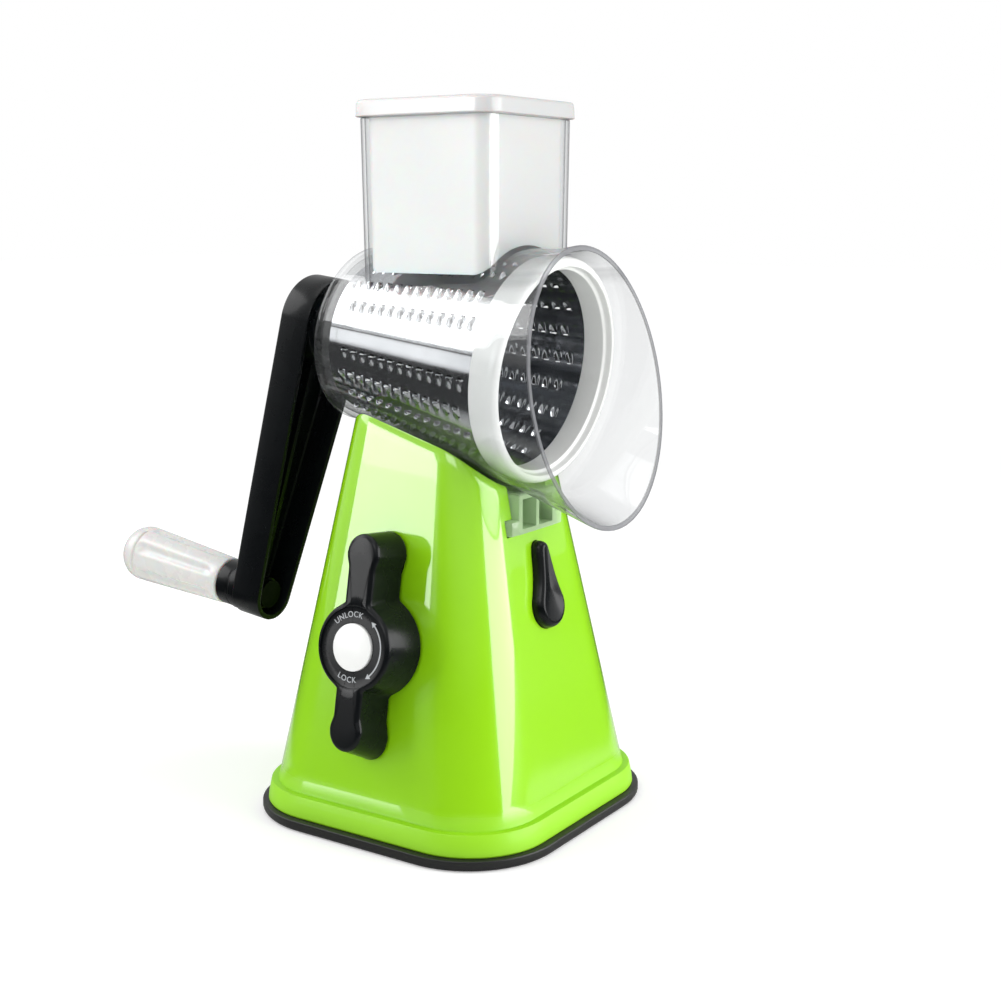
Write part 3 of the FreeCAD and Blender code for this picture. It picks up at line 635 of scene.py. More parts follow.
def knob_outline(share, inset):
    """Half width over height u = reach * sin(t): smooth union of hub disc, bar and bulb ends.

    w = (disc^8 + bar^8 + bulb^8)^(1/8), each a function of u; share goes from the base
    outline to the drafted top one, and inset pulls every width in."""
    t = np.linspace(-np.pi / 2, np.pi / 2, 97)
    reach = 44.0 - np.where(t < 0, 5.0, 1.5) * share - inset
    half = 7.2 - 1.2 * share - inset
    bulb = 8.4 - 1.2 * share - inset
    hub = 19.5 - 2.7 * share - inset
    u = reach * np.sin(t)
    disc = np.sqrt(np.maximum(hub ** 2 - u ** 2, 0))
    ends = np.sqrt(np.maximum(bulb ** 2 - (np.abs(u) - reach + bulb) ** 2, 0))
    bar = np.where(np.abs(u) < reach - bulb, half, 0)
    width = (disc ** 8 + ends ** 8 + bar ** 8) ** 0.125
    right = np.stack([width, u], -1)[::-1]
    left = np.stack([-width, u], -1)[1:-1]
    return np.concatenate([right, left])


def knob_rows():
    """Drafted side, rounded crown, flat top with the sunk ring and the cap's seat."""
    base = knob_outline(0.0, 0.0)
    rows = [(base * share, KNOB_LOW + 0.4) for share in (0.02, 0.5, 0.94)]
    rows += [(knob_outline(0.0, 0.3), KNOB_LOW), (knob_outline(0.0, 0.0), KNOB_LOW + 0.5)]
    crown = 1.8
    side = (KNOB_TOP - crown - KNOB_LOW) / (KNOB_TOP - KNOB_LOW)
    rows += [(knob_outline(share, 0.0), KNOB_LOW + share * (KNOB_TOP - KNOB_LOW))
             for share in np.linspace(0.08, side, 8)]
    for angle in np.linspace(0.25, 1.57, 7):
        rows.append((knob_outline(side, crown * (1 - math.cos(angle))),
                     KNOB_TOP - crown * (1 - math.sin(angle))))
    top = rows[-1][0]
    unit = top / np.linalg.norm(top, axis=-1, keepdims=True)
    for share in (0.3, 0.6, 0.85, 1.0):
        edge = np.minimum(np.linalg.norm(top, axis=-1, keepdims=True), KNOB_LABEL_R + 0.6)
        rows.append((top * (1 - share) + unit * edge * share, KNOB_TOP))
    for radius, sunk in ((KNOB_LABEL_R + 0.2, 0.15), (KNOB_LABEL_R - 0.1, 0.6),
                         (KNOB_LABEL_R - 0.5, KNOB_LABEL_DEEP), (12.0, KNOB_LABEL_DEEP),
                         (9.3, KNOB_LABEL_DEEP), (9.1, KNOB_LABEL_DEEP + 0.2), (9.1, 1.3), (0.05, 1.3)):
        edge = np.minimum(np.linalg.norm(top, axis=-1, keepdims=True), radius)
        rows.append((unit * edge, KNOB_TOP - sunk))
    return face_rows(rows, *KNOB_FACE)


knob = make("knob", knob_rows(), black, sharp=42)
own(knob, "knob", "black_plastic", "suction_knob")


def face_disc(profile, columns, at, up, normal):
    """Turned piece on a tilted face from (radius, height) points."""
    return face_rows([(circle(columns) * radius, out) for radius, out in profile], at, up, normal)


# --- knob cap and lettering ---
# A white disc pressed into the knob hides its screw; round it the words and the
# double arrow are printed in a thin raised film of grey-white ink.
white, _ = uneven("white_plastic", (rgb(222, 223, 221), rgb(233, 234, 232)), (40.0, 3.0),
                  (0.24, 0.14, 120.0, 3.0), (900.0, 1.0, 0.1, 0.00005), Specular_IOR_Level=0.5,
                  Coat_Weight=0.25, Coat_Roughness=0.1)
cap = make("cap", face_disc(soften([(0.05, 16.7), (CAP_R, 16.7), (CAP_R, 18.3), (0.05, 18.22)],
                                   [0.1, 0.5]), 64, *KNOB_FACE), white)
own(cap, "knob", "white_plastic", "knob_cap")
shines_on([strip_high, strip_low], [shell, knob, cap])

ink, ink_shader = surface("ink", Roughness=0.5, Specular_IOR_Level=0.3)
ink.feed(ink_shader.inputs["Base Color"],
         ink.blend(ink.noise(1400.0, 2.0), rgb(168, 172, 176), rgb(205, 208, 210)))
LETTER_R, LETTER_SIZE, INK_THICK = 12.3, 3.1, 0.12


def ring_word(name, word, turn, inward):
    """A word bent round the cap: x becomes an angle, y a change of radius, z the ink's height."""
    text = bpy.data.curves.new(name, "FONT")
    text.body = word
    text.align_x = "CENTER"
    text.align_y = "CENTER"
    text.size = LETTER_SIZE
    text.extrude = INK_THICK / 2
    text.space_character = 1.12
    lettering = placed(name, text)
    bpy.context.view_layer.update()
    graph = bpy.context.evaluated_depsgraph_get()
    mesh = bpy.data.meshes.new_from_object(lettering.evaluated_get(graph))
    bpy.data.objects.remove(lettering)
    flat = np.empty(len(mesh.vertices) * 3)
    mesh.vertices.foreach_get("co", flat)
    x, y, z = flat.reshape(-1, 3).T
    angle = x / LETTER_R + (-turn if inward else turn)
    radius = LETTER_R + (-y if inward else y)
    rise = -1 if inward else 1
    face = np.stack([radius * np.sin(angle), rise * radius * np.cos(angle)], -1)
    out = KNOB_TOP - KNOB_LABEL_DEEP + z + INK_THICK / 2
    mesh.vertices.foreach_set("co", (on_face(face, out, *KNOB_FACE) * MM).ravel())
    mesh.materials.clear()
    mesh.materials.append(ink.owner)
    tidy(mesh, 30)
    mesh.name = name
    return placed(name, mesh)


own(ring_word("word_unlock", "UNLOCK", -0.30, False), "knob", "white_plastic")
own(ring_word("word_lock", "LOCK", 0.12, True), "knob", "white_plastic")


def arrow_rows(start, end, radius):
    """Ribbon along an arc; its half width swells from 0 to a barb and falls to the shaft."""
    angle = np.concatenate([start + np.array([0, 0.05, 0.1, 0.149, 0.15]),
                            np.linspace(start + 0.2, end - 0.2, 26),
                            end - np.array([0.15, 0.149, 0.1, 0.05, 0])])
    head = np.array([0.02, 0.38, 0.76, 1.12, 0.26])
    half = np.concatenate([head, np.full(26, 0.26), head[::-1]])
    rows = []
    for theta, width in zip(angle, half):
        rim = np.array([radius - width, radius + width, radius + width, radius - width])
        flat = np.stack([rim * math.sin(theta), rim * math.cos(theta)], -1)
        out = KNOB_TOP - KNOB_LABEL_DEEP + np.array([0, 0, INK_THICK, INK_THICK])
        rows.append(on_face(flat, out, *KNOB_FACE))
    return np.stack(rows)


arrow = make("turn_arrow", arrow_rows(0.62, 2.55, 12.9), ink)
own(arrow, "knob", "white_plastic")


# --- release button ---
# Teardrop push button of the housing latch on the outlet face: glossy black ABS with a
# rounded crown and a scooped face; a flange behind the wall keeps it from falling out.
def button_rows():
    outline = tear(0.0)
    centre = np.array([0.0, 6.0])
    flange = capsule(TEAR_R + 1.6, TEAR_TIP + 1.6, TEAR_LENGTH)
    rows = [(centre + (flange - centre) * share, -4.2) for share in (0.02, 0.99)]
    rows += [(flange, -4.1), (flange, -3.2), (centre + (flange - centre) * 0.99, -3.1),
             (outline, -3.0), (outline, 0.5)]
    crown_in, crown_up = 2.4, 3.6
    for angle in np.linspace(0.1, 1.4, 8):
        rows.append((tear(crown_in * (1 - math.cos(angle))), 4.7 - crown_up * (1 - math.sin(angle))))
    rim = rows[-1][0]
    for share in (0.94, 0.86, 0.74, 0.6, 0.45, 0.3, 0.15, 0.02):
        rows.append((centre + (rim - centre) * share, 4.62 - 0.8 * (1 - share ** 2) ** 1.5))
    return face_rows(rows, *BUTTON_FACE)


button = make("button", button_rows(), black)
wedge = block("wedge", (34.0, 41.6), (-3.5, 3.5), (86.0, 92.0), black, 0.3)
carve(button, [wedge], "UNION")
own(settle(button, 42), "button", "black_plastic", "release_button")


# --- drum housing ---
# One clear polystyrene moulding: the cone round the drum, the leaning oval guard, the
# square chute on top and the ribbed rail with two feet that slides into the base.
def on_drum(along, side, up):
    """Points from the drum's own frame: along its axis, across, and up from the axis."""
    along, side, up = np.broadcast_arrays(along, side, up)
    return (AXIS_AT + along[..., None] * AXIS + side[..., None] * np.array([0.0, 1.0, 0.0])
            + up[..., None] * AXIS_UP)


def turned(profile, about=(0.0, 0.0), columns=96, swell=None):
    """(along, radius) points carried round the drum's axis, or round a line beside it."""
    along, radius = np.asarray(profile, float).T
    turn = around(columns)
    reach = radius[:, None] + 0 * turn
    if swell is not None:
        reach = reach + swell(along[:, None], turn)
    return on_drum(along[:, None], about[0] + reach * np.sin(turn),
                   about[1] + reach * np.cos(turn))


RIM_ALONG, RIM_UP = 18.57, -2.757
RIM_HALF_WIDTH, RIM_HALF_HEIGHT = 48.1, 53.4
RIM_LEAN = math.radians(16.4)
CLEAR_WALL, RIM_WALL = 2.0, 1.8
CHUTE_X = 8.0


def guard(inset, rim_inset, shares):
    """Straight lines from the chamber's round mouth to the leaning oval rim.

    A point is circle + share * (oval - circle)."""
    turn = around(96)
    share = np.asarray(shares, float)[:, None]
    mouth = CHAMBER_R_FRONT - inset
    tall = (RIM_HALF_HEIGHT - rim_inset) * np.cos(turn)
    oval_along = RIM_ALONG - tall * math.sin(RIM_LEAN)
    oval_up = RIM_UP + tall * math.cos(RIM_LEAN)
    oval_side = (RIM_HALF_WIDTH - rim_inset) * np.sin(turn)
    along = CHAMBER_FRONT + share * (oval_along - CHAMBER_FRONT)
    side = mouth * np.sin(turn) + share * (oval_side - mouth * np.sin(turn))
    up = mouth * np.cos(turn) + share * (oval_up - mouth * np.cos(turn))
    return on_drum(along, side, up)


clear = Finish(bpy.data.materials.new("clear_polystyrene"))
through = clear.add("BsdfTransparent", {"Color": (0.965, 0.97, 0.972, 1)})
mirror = clear.add("BsdfPrincipled", {
    "Base Color": (1, 1, 1, 1), "Metallic": 1.0, "Roughness": 0.035})
haze_and_painted_light = clear.add("BsdfPrincipled", {"Roughness": 0.35})
haze_and_painted_grey = clear.blend(clear.noise(30.0, 2.0), rgb(88, 89, 93), rgb(118, 119, 123))
facing = Wire(clear, clear.add("LayerWeight", {"Blend": 0.5}).outputs["Facing"])
clear.feed(mirror.inputs["Normal"], clear.bump(clear.noise(38.0, 2.0), 0.18, 0.0006))
shine = clear.mix(facing ** 5 * 0.9 + 0.05, through.outputs[0], mirror.outputs[0])
# A band past the guard's rim plane is painted grey: painted shade of the rim's edge.
rim_normal = AXIS * math.cos(RIM_LEAN) + AXIS_UP * math.sin(RIM_LEAN)
rim_middle = on_drum(RIM_ALONG, 0.0, RIM_UP) * MM
past_rim = (clear.measure("DOT_PRODUCT", clear.place(), tuple(rim_normal))
            - float(rim_middle @ rim_normal))
rim_painted_shade = past_rim.above(-0.0006, 0.0006)
RAIL_TOP, RAIL_FRONT, CHUTE_EDGE, CHUTE_LOW = 0.1335, 0.0425, 0.0265, 0.215
here_x, here_y, here_z = clear.position()
# The rail below the base's top is painted light green-grey: painted light standing in for the green
# body's glow in the dark slot.
rail_painted_light = (1 - here_z.above(RAIL_TOP, 0.003)) * (1 - here_x.above(RAIL_FRONT, 0.002))
# The chute's upright corners are painted grey where seen at a slant: painted shade lines.
corner = (abs(here_y).above(CHUTE_EDGE, 0.003) * abs(here_x - CHUTE_X * MM).above(CHUTE_EDGE, 0.003)
          * here_z.above(CHUTE_LOW, 0.01))
clear.feed(haze_and_painted_light.inputs["Base Color"], clear.blend(rail_painted_light, haze_and_painted_grey, rgb(200, 230, 180)))
# Share of the grey layer: haze at grazing angles, plus the painted shade at the rim and chute corners
# and the painted light on the rail.
haze_and_painted_light_share = facing ** 3 * 0.55 + 0.012 + rim_painted_shade * 0.65 + rail_painted_light * 0.42 + corner * facing * 0.6
clear.add("OutputMaterial", {"Surface": clear.mix(haze_and_painted_light_share, shine, haze_and_painted_light.outputs[0])})

REAR_BEAD = soften([(-91.0, 0.05), (-91.0, 34.9), (-89.2, 35.2), (-88.2, 34.8), (-86.0, 35.05)],
                   [0.7, 0.5, 0.3])
rim_ends = [guard(0, 0, np.linspace(0.08, 0.985, 12)), guard(0, 0.25, [1.0]),
            guard(0, 1.2, [1.0]), guard(0, 20.0, [1.0]), guard(0, 46.0, [1.0])]
outside = np.concatenate([turned(REAR_BEAD), turned([(-60.0, chamber_radius(-60.0)), (-30.0,
                         chamber_radius(-30.0)), (-4.6, chamber_radius(-4.6))])] + rim_ends)
housing = make("housing", outside, clear)
cavity_rear = [(-89.0, 0.05), (-89.0, 32.2), (-88.6, 32.7), (-60.0, chamber_radius(-60.0) - 2.0),
               (-30.0, chamber_radius(-30.0) - 2.0), (-4.6, chamber_radius(-4.6) - 2.0)]
cavity = make("cavity", np.concatenate([
    turned(cavity_rear), guard(CLEAR_WALL, RIM_WALL, np.linspace(0.08, 1.25, 12)),
    guard(CLEAR_WALL, 46.0, [1.25])]), clear)


def chute_block(name, inset, low, top, lip):
    """Rounded square block that widens by 0.8 mm over its height, its top edge rounded."""
    half = 30.0 + 0.8 * (low - 200.0) / 73.5 - inset
    half_top = 30.0 + 0.8 * (top - 200.0) / 73.5 - inset
    corner = 7.5 - inset
    profile = [(half, corner, low), ((half + half_top) / 2, corner, (low + top) / 2),
               (half_top, corner, top - lip), (half_top - lip, corner - lip, top)]
    grid = square_rows(profile)
    grid[..., 0] += CHUTE_X
    return make(name, grid, clear)


chute = chute_block("chute", 0.0, 200.0, 273.5, 0.3)
bore_of_chute = chute_block("bore_of_chute", 1.5, 199.0, 275.0, 0.0)
neck = block("neck", (-14.0, 41.0), (-13.0, 13.0), (117.3, 143.0), clear, 0.5)
feet = block("feet", (-14.0, 41.0), (-18.0, 18.0), (117.31, 123.0), clear, 0.8)
pockets = [block("pocket", (12.0, 42.0), span, (119.3, 131.0), clear, 0.4)
           for span in ((-10.8, -1.0), (1.0, 10.8))]
collar_ring = make("collar_ring", turned([(-91.0, 0.05), (-91.0, 14.5), (-88.6, 14.5),
                                          (-88.2, 14.1), (-88.2, 0.05)]), clear)
journal_bore = make("journal_bore", turned([(-93.0, 12.1), (-85.0, 12.1)]), clear)
carve(housing, [chute, neck, feet], "UNION")
carve(housing, pockets + [cavity, bore_of_chute])
carve(housing, [collar_ring], "UNION")
carve(housing, [journal_bore])
own(settle(housing, 32), "housing", "clear_plastic", "drum_housing")


# --- food pusher ---
# Milky moulded pusher in the chute: a hollow box with a wide rounded rim to press on and
# a bottom arched to the drum, open at the top for the fingers.
milky, milky_shader = surface("milky_plastic", Specular_IOR_Level=0.5, Coat_Weight=0.2,
                              Coat_Roughness=0.12, Subsurface_Weight=0.35, Subsurface_Scale=0.004)
milky_body = milky.blend(milky.noise(22.0, 3.0), rgb(216, 217, 215), rgb(226, 227, 225))
RIM_LOW = 0.2736
# The rim above the chute is painted a darker grey than the body: painted shade, as the rim stands in
# stronger light outside the clear chute.
milky.feed(milky_shader.inputs["Base Color"],
           milky.blend(milky.position()[2].above(RIM_LOW, 0.0006), milky_body, rgb(176, 177, 177)))
skin(milky, milky_shader, (0.26, 0.12, 90.0, 3.0), (700.0, 2.0, 0.08, 0.00006))
PUSHER_PROFILE = soften([
    (0.1, 0.05, 205.0), (27.5, 6.0, 205.0), (28.05, 6.2, 273.8), (32.4, 8.4, 273.8),
    (32.1, 8.4, 280.0), (26.3, 4.6, 280.0), (25.8, 4.4, 231.0), (0.1, 0.05, 231.0)],
    [0.1, 0.5, 0.5, 1.5, 0.8, 1.6])
pusher_grid = square_rows(PUSHER_PROFILE)
pusher_grid[..., 0] += CHUTE_X
pusher = make("pusher", pusher_grid, milky)
ARCH_R, PUSHER_LOW = 42.0, 216.0
arch_turn = around(120)
arch_middle = PUSHER_LOW - math.sqrt(ARCH_R ** 2 - 27.6 ** 2)
arch = make("arch", np.stack([np.stack([
    np.full(120, x), ARCH_R * np.sin(arch_turn), arch_middle + ARCH_R * np.cos(arch_turn)], -1)
    for x in (CHUTE_X - 40.0, CHUTE_X + 40.0)]), milky)
carve(pusher, [arch])
own(settle(pusher, 32), "pusher", "frosted_plastic", "food_pusher")
shines_on([chute_fill], [pusher])


# --- grating drum ---
# The cutting drum: a cone of polished stainless sheet punched with 20 rows of raised
# teeth, each an open hood with a sharp mouth, and a blank strip at the sheet's seam. A
# white ring and a white hub grip it. Its inside is painted a darker steel than its outside,
# painted shade inside the cone, and a near-black band past each mouth is painted shadow.
STEEL_REAR, STEEL_FRONT = -87.0, -8.0
STEEL_R_REAR, STEEL_R_FRONT = 30.4, 39.9
TOOTH_ROWS, TOOTH_PITCH, ROW_TURN = 21, 5.0, 5.5
TOOTH_HALF, TOOTH_HIGH = 1.3, 1.5
FIRST_TOOTH, LAST_TOOTH = -81.0, -17.0
SEAM_ROW = 16
SHEET = 0.45
# Angles across one row, in degrees from its middle: rising back, crest, sharp mouth, flat.
TOOTH_STATIONS = np.array([-4.6, -3.6, -2.6, -1.6, -0.6, 0.5, 1.6, 2.5, 3.1, 3.35, 3.9, 6.2, 9.2])
TOOTH_RISE = np.array([0, 0.06, 0.2, 0.38, 0.58, 0.78, 0.93, 1.0, 0.97, 0, 0, 0, 0])
# Mouth marks: the jump from 0.55 to 1.0 is cut open; every mark above 0.5 also paints the steel
# near-black, a painted shadow past the mouth.
TOOTH_MOUTH_AND_SHADOW = np.array([0, 0, 0, 0, 0, 0, 0, 0, 0.55, 1.0, 0.75, 0, 0])


def tooth_field(along):
    """Height of the punched sheet on a grid of (along, angle), and marks: each tooth's mouth with the
    painted shadow past it, and the seam line.

    height = TOOTH_HIGH * rise(angle) * sqrt(1 - (offset / half)^2), offset from the
    nearest tooth of that row; neighbouring rows are half a pitch apart."""
    row_number = np.repeat(np.arange(TOOTH_ROWS), len(TOOTH_STATIONS))
    turn = np.radians(ROW_TURN + row_number * 360 / TOOTH_ROWS + np.tile(TOOTH_STATIONS, TOOTH_ROWS))
    toothed = row_number != SEAM_ROW
    rise = np.tile(TOOTH_RISE, TOOTH_ROWS) * toothed
    start = FIRST_TOOTH + TOOTH_PITCH / 2 * (row_number % 2)
    count = np.round((along[:, None] - start) / TOOTH_PITCH)
    count = np.clip(count, 0, np.floor((LAST_TOOTH - start) / TOOTH_PITCH))
    offset = (along[:, None] - start - count * TOOTH_PITCH) / TOOTH_HALF
    bow = np.sqrt(np.maximum(1 - offset ** 2, 0))
    mouth = np.tile(TOOTH_MOUTH_AND_SHADOW, TOOTH_ROWS) * (bow > 0.25) * toothed
    seam = (row_number == SEAM_ROW) & (np.tile(TOOTH_STATIONS, TOOTH_ROWS) == 0.5)
    return turn, TOOTH_HIGH * rise * bow, mouth + 0.62 * seam


def sheet_radius(along):
    share = (along - STEEL_REAR) / (STEEL_FRONT - STEEL_REAR)
    return STEEL_R_REAR + share * (STEEL_R_FRONT - STEEL_R_REAR)


drum_along = np.concatenate([[STEEL_REAR, -85.0], np.arange(-82.6, -14.5, 0.43), [-13.0, STEEL_FRONT]])
tooth_turn, tooth_height, mouths_shadow_and_seam = tooth_field(drum_along)
outer_r = sheet_radius(drum_along)[:, None] + tooth_height
skins = [on_drum(drum_along[:, None], radius * np.sin(tooth_turn), radius * np.cos(tooth_turn))
         for radius in (outer_r, outer_r - SHEET)]


def punched(name, outer, inner, mouth, finish):
    """Two skins joined at both ends; where a tooth's mouth stands upright both are left
    out, and the edge of the opening joins one skin to the other."""
    rows, columns = mouth.shape
    index = np.arange(rows * columns).reshape(rows, columns)
    right = np.roll(index, -1, axis=1)
    steep = (mouth == 0.55) & (np.roll(mouth, -1, axis=1) == 1.0)
    opened = steep[:-1] & steep[1:]
    cells = np.stack([index[:-1], right[:-1], right[1:], index[1:]], -1)
    whole = cells[~opened]
    edges = [np.stack([index[0], right[0]], -1), np.stack([index[-1], right[-1]], -1)]
    shut = np.pad(~opened, ((1, 1), (0, 0)), constant_values=True)
    neighbours = [shut[:-2], np.roll(~opened, -1, axis=1), shut[2:], np.roll(~opened, 1, axis=1)]
    for corner, beside in enumerate(neighbours):
        edges.append(cells[opened & beside][:, [corner, (corner + 1) % 4]])
    edges = np.concatenate(edges)
    under = rows * columns
    walls = np.concatenate([edges, edges[:, ::-1] + under], 1)
    mesh = bpy.data.meshes.new(name)
    mesh.from_pydata(np.concatenate([outer.reshape(-1, 3), inner.reshape(-1, 3)]) * MM, [],
                     np.concatenate([whole, whole + under, walls]).tolist())
    # The inner skin is marked -1 for its painted shade; the outer skin carries the mouths, their painted
    # shadow and the seam.
    marks = np.concatenate([mouth.ravel(), np.full(mouth.size, -1.0)])
    mesh.attributes.new("mouth", "FLOAT", "POINT").data.foreach_set("value", marks)
    mesh.materials.append(finish.owner)
    tidy(mesh, 50)
    return placed(name, mesh)


steel, steel_shader = surface("polished_steel", Metallic=1.0)
# Painted shade: the inner skin is a darker steel. Marks above 0.5 are near-black painted shadow past
# each mouth, and the seam is a dark line.
painted_shade_and_seam_mark = Wire(steel, steel.add("Attribute", attribute_name="mouth").outputs["Fac"])
shiny = steel.blend(steel.noise(26.0, 3.0), rgb(205, 207, 210), rgb(228, 229, 231))
steel_with_inner_shade = steel.blend(painted_shade_and_seam_mark.above(-0.5, 0.4), rgb(184, 186, 189), shiny)
steel.feed(steel_shader.inputs["Base Color"],
           steel.blend(painted_shade_and_seam_mark.above(0.5, 0.4), steel_with_inner_shade, (0.02, 0.02, 0.022, 1)))
skin(steel, steel_shader, (0.06, 0.10, 140.0, 4.0), (48.0, 3.0, 0.22, 0.0004))
blade = punched("blade", skins[0], skins[1], mouths_shadow_and_seam, steel)
own(blade, "drum", "polished_steel", "drum_blade")
shines_on([drum_card], [blade])

RING_PROFILE = soften([
    (-11.5, 40.4), (-12.0, 40.6), (-12.0, 42.3), (-3.2, 43.4), (-1.0, 42.9), (0.0, 41.6),
    (0.0, 40.0), (-2.6, 39.6), (-3.2, 38.4), (-12.0, 38.4), (-12.0, 38.6), (-11.5, 38.7),
    (-11.5, 40.4)], [0.1, 0.4, 1.0, 0.8, 0.6, 0.5, 0.5, 0.4, 0.5, 0.1, 0.05])
ring = make("ring", turned(RING_PROFILE), white, caps=False, sharp=38)
own(ring, "drum", "white_plastic", "drum_ring")
shines_on([ring_fill], [ring])


# --- crank arm ---
# Black ABS arm, a channel open towards the housing: a big head with the drum's socket,
# a straight taper and a small end with the grip's collar; one moulding, clipped on.
SWING = math.radians(14.0)
ARM_HEAD_R, ARM_END_R, ARM_LENGTH = 19.5, 10.5, 115.0
ARM_END = (-ARM_LENGTH * math.sin(SWING), -ARM_LENGTH * math.cos(SWING))
ARM_MIDDLE = np.array([0.0, 45.0])


def on_arm(flat, along):
    """Points from (across, down the arm) at a place along the drum's axis."""
    across, down = flat[..., 0], flat[..., 1]
    return on_drum(along, -across * math.cos(SWING) - down * math.sin(SWING),
                   across * math.sin(SWING) - down * math.cos(SWING))


def arm_rows():
    """Outline rows as (inset, scale, along): web, outer corner, wall, rim, inner wall, floor."""
    edge = 1.6
    rows = [(3.0, share, -123.0) for share in (0.02, 0.4, 0.8)]
    rows += [(edge * (1 - math.sin(a)), 1.0, -123.0 + edge * (1 - math.cos(a)))
             for a in np.linspace(0.0, math.pi / 2, 6)]
    rows += [(0.0, 1.0, -115.0), (0.0, 1.0, -108.5), (0.15, 1.0, -108.12), (0.5, 1.0, -108.0),
             (1.7, 1.0, -108.0), (2.05, 1.0, -108.15), (2.2, 1.0, -108.6), (2.2, 1.0, -115.0),
             (2.2, 1.0, -120.2), (2.8, 1.0, -120.8)]
    rows += [(3.4, share, -120.8) for share in (0.8, 0.4, 0.02)]
    grids = []
    for inset, scale, along in rows:
        flat = capsule(ARM_HEAD_R - inset, ARM_END_R - inset, ARM_LENGTH, 120)
        grids.append(on_arm(ARM_MIDDLE + (flat - ARM_MIDDLE) * scale, along))
    return np.stack(grids)


arm = make("arm", arm_rows(), black)
boss = turned(soften([(-121.5, 0.05), (-121.5, 17.35), (-108.6, 17.35), (-108.6, 14.5),
                      (-91.8, 14.5), (-91.8, 0.05)], [0.1, 0.5, 0.4, 0.6]))
head_block = make("head_block", boss, black)
collar_piece = make("collar_piece", turned(soften([
    (-121.5, 0.05), (-121.5, 9.9), (-125.5, 9.9), (-126.0, 9.3), (-127.0, 9.3), (-127.4, 9.5),
    (-133.0, 9.5), (-133.0, 0.05)], [0.1, 0.4, 0.3, 0.3, 0.2, 0.7]), ARM_END), black)
pillar = make("pillar", turned([(-122.0, 6.5), (-112.0, 6.5)], ARM_END, 48), black)
rib_flat = np.array([(-1.0, 15.5), (1.0, 15.5), (1.0, 111.0), (-1.0, 111.0)])
rib = make("rib", np.stack([on_arm(rib_flat, along) for along in (-122.0, -116.0)]), black)
carve(arm, [head_block, collar_piece, pillar, rib], "UNION")
STEM_HALF = 7.55
square = np.array([(-1, -1), (1, -1), (1, 1), (-1, 1)]) * STEM_HALF
socket_cut = make("socket_cut", np.stack([on_arm(square, along) for along in (-112.0, -90.0)]), black)
relief = make("relief", turned([(-94.2, 12.6), (-90.0, 12.6)]), black)
pin_bore = make("pin_bore", turned([(-135.0, 4.02), (-111.0, 4.02)], ARM_END, 40), black)
carve(arm, [socket_cut, relief, pin_bore])
own(settle(arm, 38), "crank", "black_plastic", "crank_arm")


# --- crank grip ---
# Free-turning grip of milky moulded plastic on a steel pin: a slim cone with six shallow
# flutes, a groove before the domed end, and a bore for the pin and its clip.
GRIP_NEAR, GRIP_END, DOME = -133.3, -191.99, 10.09


def grip_radius(along):
    share = (GRIP_NEAR - along) / (GRIP_NEAR - (GRIP_END + DOME))
    return 9.8 + (11.9 - 9.8) * share


def flutes(along, turn):
    """Six rounded grooves: depth * max(0, cos 6t)^1.5, fading out at both ends of the cone."""
    inside = np.clip((GRIP_NEAR - 3.0 - along) / 4.0, 0, 1) * np.clip((along + 179.0) / 2.5, 0, 1)
    inside = inside ** 2 * (3 - 2 * inside)
    return -1.25 * inside * np.maximum(np.cos(6 * turn), 0) ** 1.5


grip_plastic, _ = uneven("grip_plastic", (rgb(216, 217, 215), rgb(230, 231, 228)), (45.0, 3.0),
                         (0.2, 0.14, 150.0, 3.0), (600.0, 2.0, 0.10, 0.00006),
                         Specular_IOR_Level=0.5, Coat_Weight=0.35, Coat_Roughness=0.08,
                         Subsurface_Weight=0.5, Subsurface_Scale=0.006)
grip_along = np.linspace(GRIP_NEAR - 0.8, -178.6, 34)
cone_part = np.stack([grip_along, grip_radius(grip_along)], -1)
groove = [(-179.4, 11.75), (-179.8, 11.1), (-180.6, 11.1), (-181.0, 11.75), (-181.9, 11.9)]
dome_angle = np.linspace(0.12, 1.5, 12)
dome = np.stack([GRIP_END + DOME * (1 - np.sin(dome_angle)), 11.9 * np.cos(dome_angle)], -1)
grip_body = np.concatenate([
    [(-177.0, 0.05), (-177.0, 4.05), (GRIP_NEAR, 4.05), (GRIP_NEAR, 9.3), (-133.5, 9.65)],
    cone_part, groove, dome, [(GRIP_END + 0.02, 0.05)]])
grip = make("grip", turned(grip_body, ARM_END, 96, lambda s, t: np.where(
    (s < GRIP_NEAR - 3.0) & (s > -179.0) & (s != -177.0), flutes(s, t), 0)),
    grip_plastic, sharp=45)
own(grip, "grip", "grip_plastic", "crank_grip")


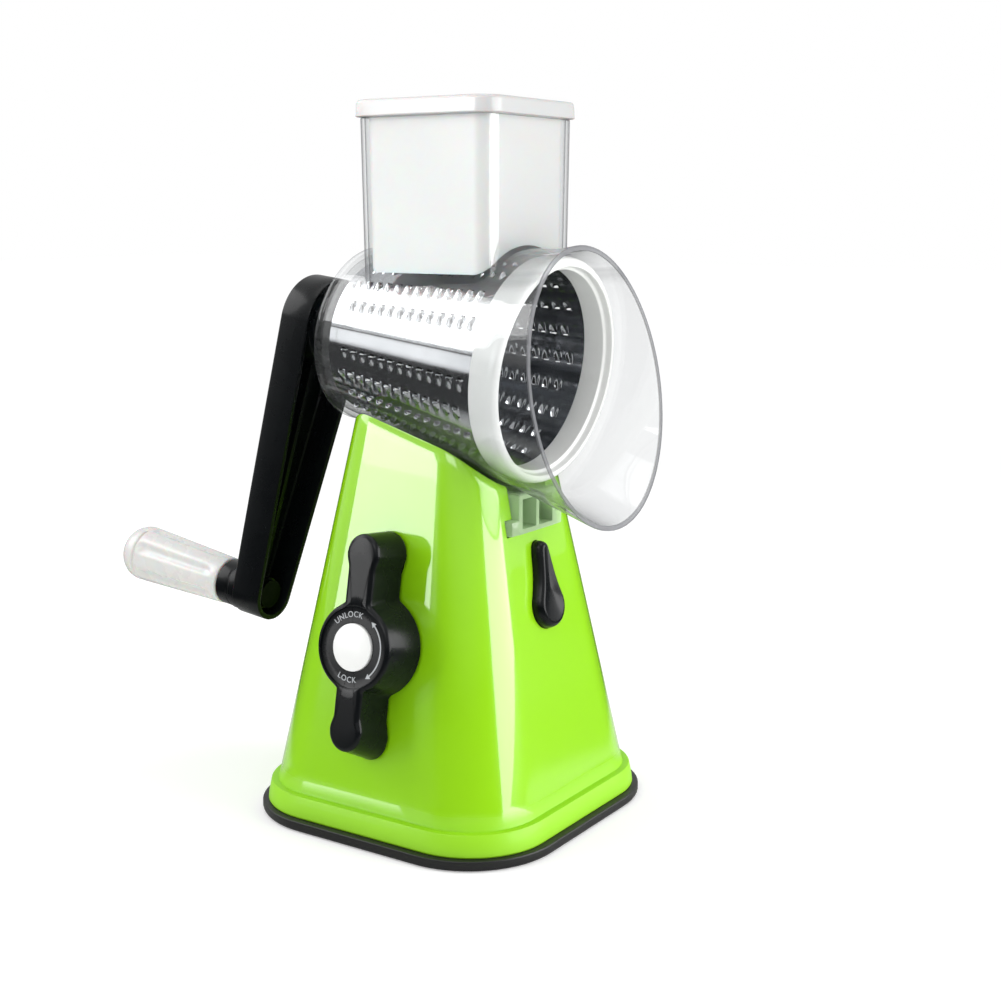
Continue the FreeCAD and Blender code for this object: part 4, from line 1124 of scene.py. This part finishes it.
# --- hidden works ---
# The two springs are bright wire coils on the rod and the latch. The other
# pieces inside keep their modelled shape and only take finishes: steel and grey mouldings.
bright, _ = uneven("bright_steel", (rgb(176, 178, 180), rgb(206, 207, 208)), (120.0, 3.0),
                   (0.2, 0.2, 400.0, 3.0), (1800.0, 1.0, 0.1, 0.00003), Metallic=1.0)
grey, _ = uneven("grey_plastic", (rgb(120, 123, 124), rgb(140, 143, 144)), (60.0, 3.0),
                 (0.44, 0.16, 200.0, 3.0), (1300.0, 2.0, 0.2, 0.00006), Specular_IOR_Level=0.4)
dark, _ = uneven("blackened_steel", (rgb(16, 16, 18), rgb(26, 27, 29)), (90.0, 3.0),
                 (0.42, 0.18, 300.0, 3.0), None, Metallic=1.0)


def coil(name, middle, low, high, radius, wire, turns):
    """Compression spring on Z: height = share of the free turns, the end turns lie flat."""
    share = np.linspace(0, 1, 40 * turns + 1)
    angle = share * turns * 2 * np.pi
    climb = np.clip((share * turns - 0.7) / (turns - 1.4), 0, 1)
    round_wire = around(14)
    reach = radius + wire * np.cos(round_wire)
    z = low + wire + climb[:, None] * (high - low - 2 * wire) + wire * np.sin(round_wire)
    grid = np.stack([middle + reach * np.cos(angle)[:, None], reach * np.sin(angle)[:, None], z], -1)
    return make(name, grid, bright, sharp=60)


LIFT_LOW, LIFT_HIGH, LIFT_TRAVEL = 82.0, 112.0, 3.1
lift_coil = coil("lift_coil", 0.0, LIFT_LOW, LIFT_HIGH, 4.8, 0.8, 6)
own(lift_coil, "lift", "plain_steel", "lift_spring")
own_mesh(lift_coil)
LATCH_LOW, LATCH_HIGH, LATCH_TRAVEL, LATCH_X = 68.5, 82.0, 3.0, 28.0
latch_coil = coil("latch_coil", LATCH_X, LATCH_LOW, LATCH_HIGH, 3.2, 0.6, 5)
own(latch_coil, "latch", "plain_steel", "latch_spring")
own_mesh(latch_coil)

FINISHES = {
    "base_plate": grey, "rail_track": grey, "lift_rod": grey, "latch_bolt": grey,
    "plate_screws": bright, "cam_shaft": bright, "shaft_clip": bright,
    "knob_screw": bright, "grip_pin": dark, "grip_clip": dark,
    "snap_tabs": black, "drum_hub": white}
for node, finish in FINISHES.items():
    for slot in frame["nodes"][node].material_slots:
        slot.material = finish.owner
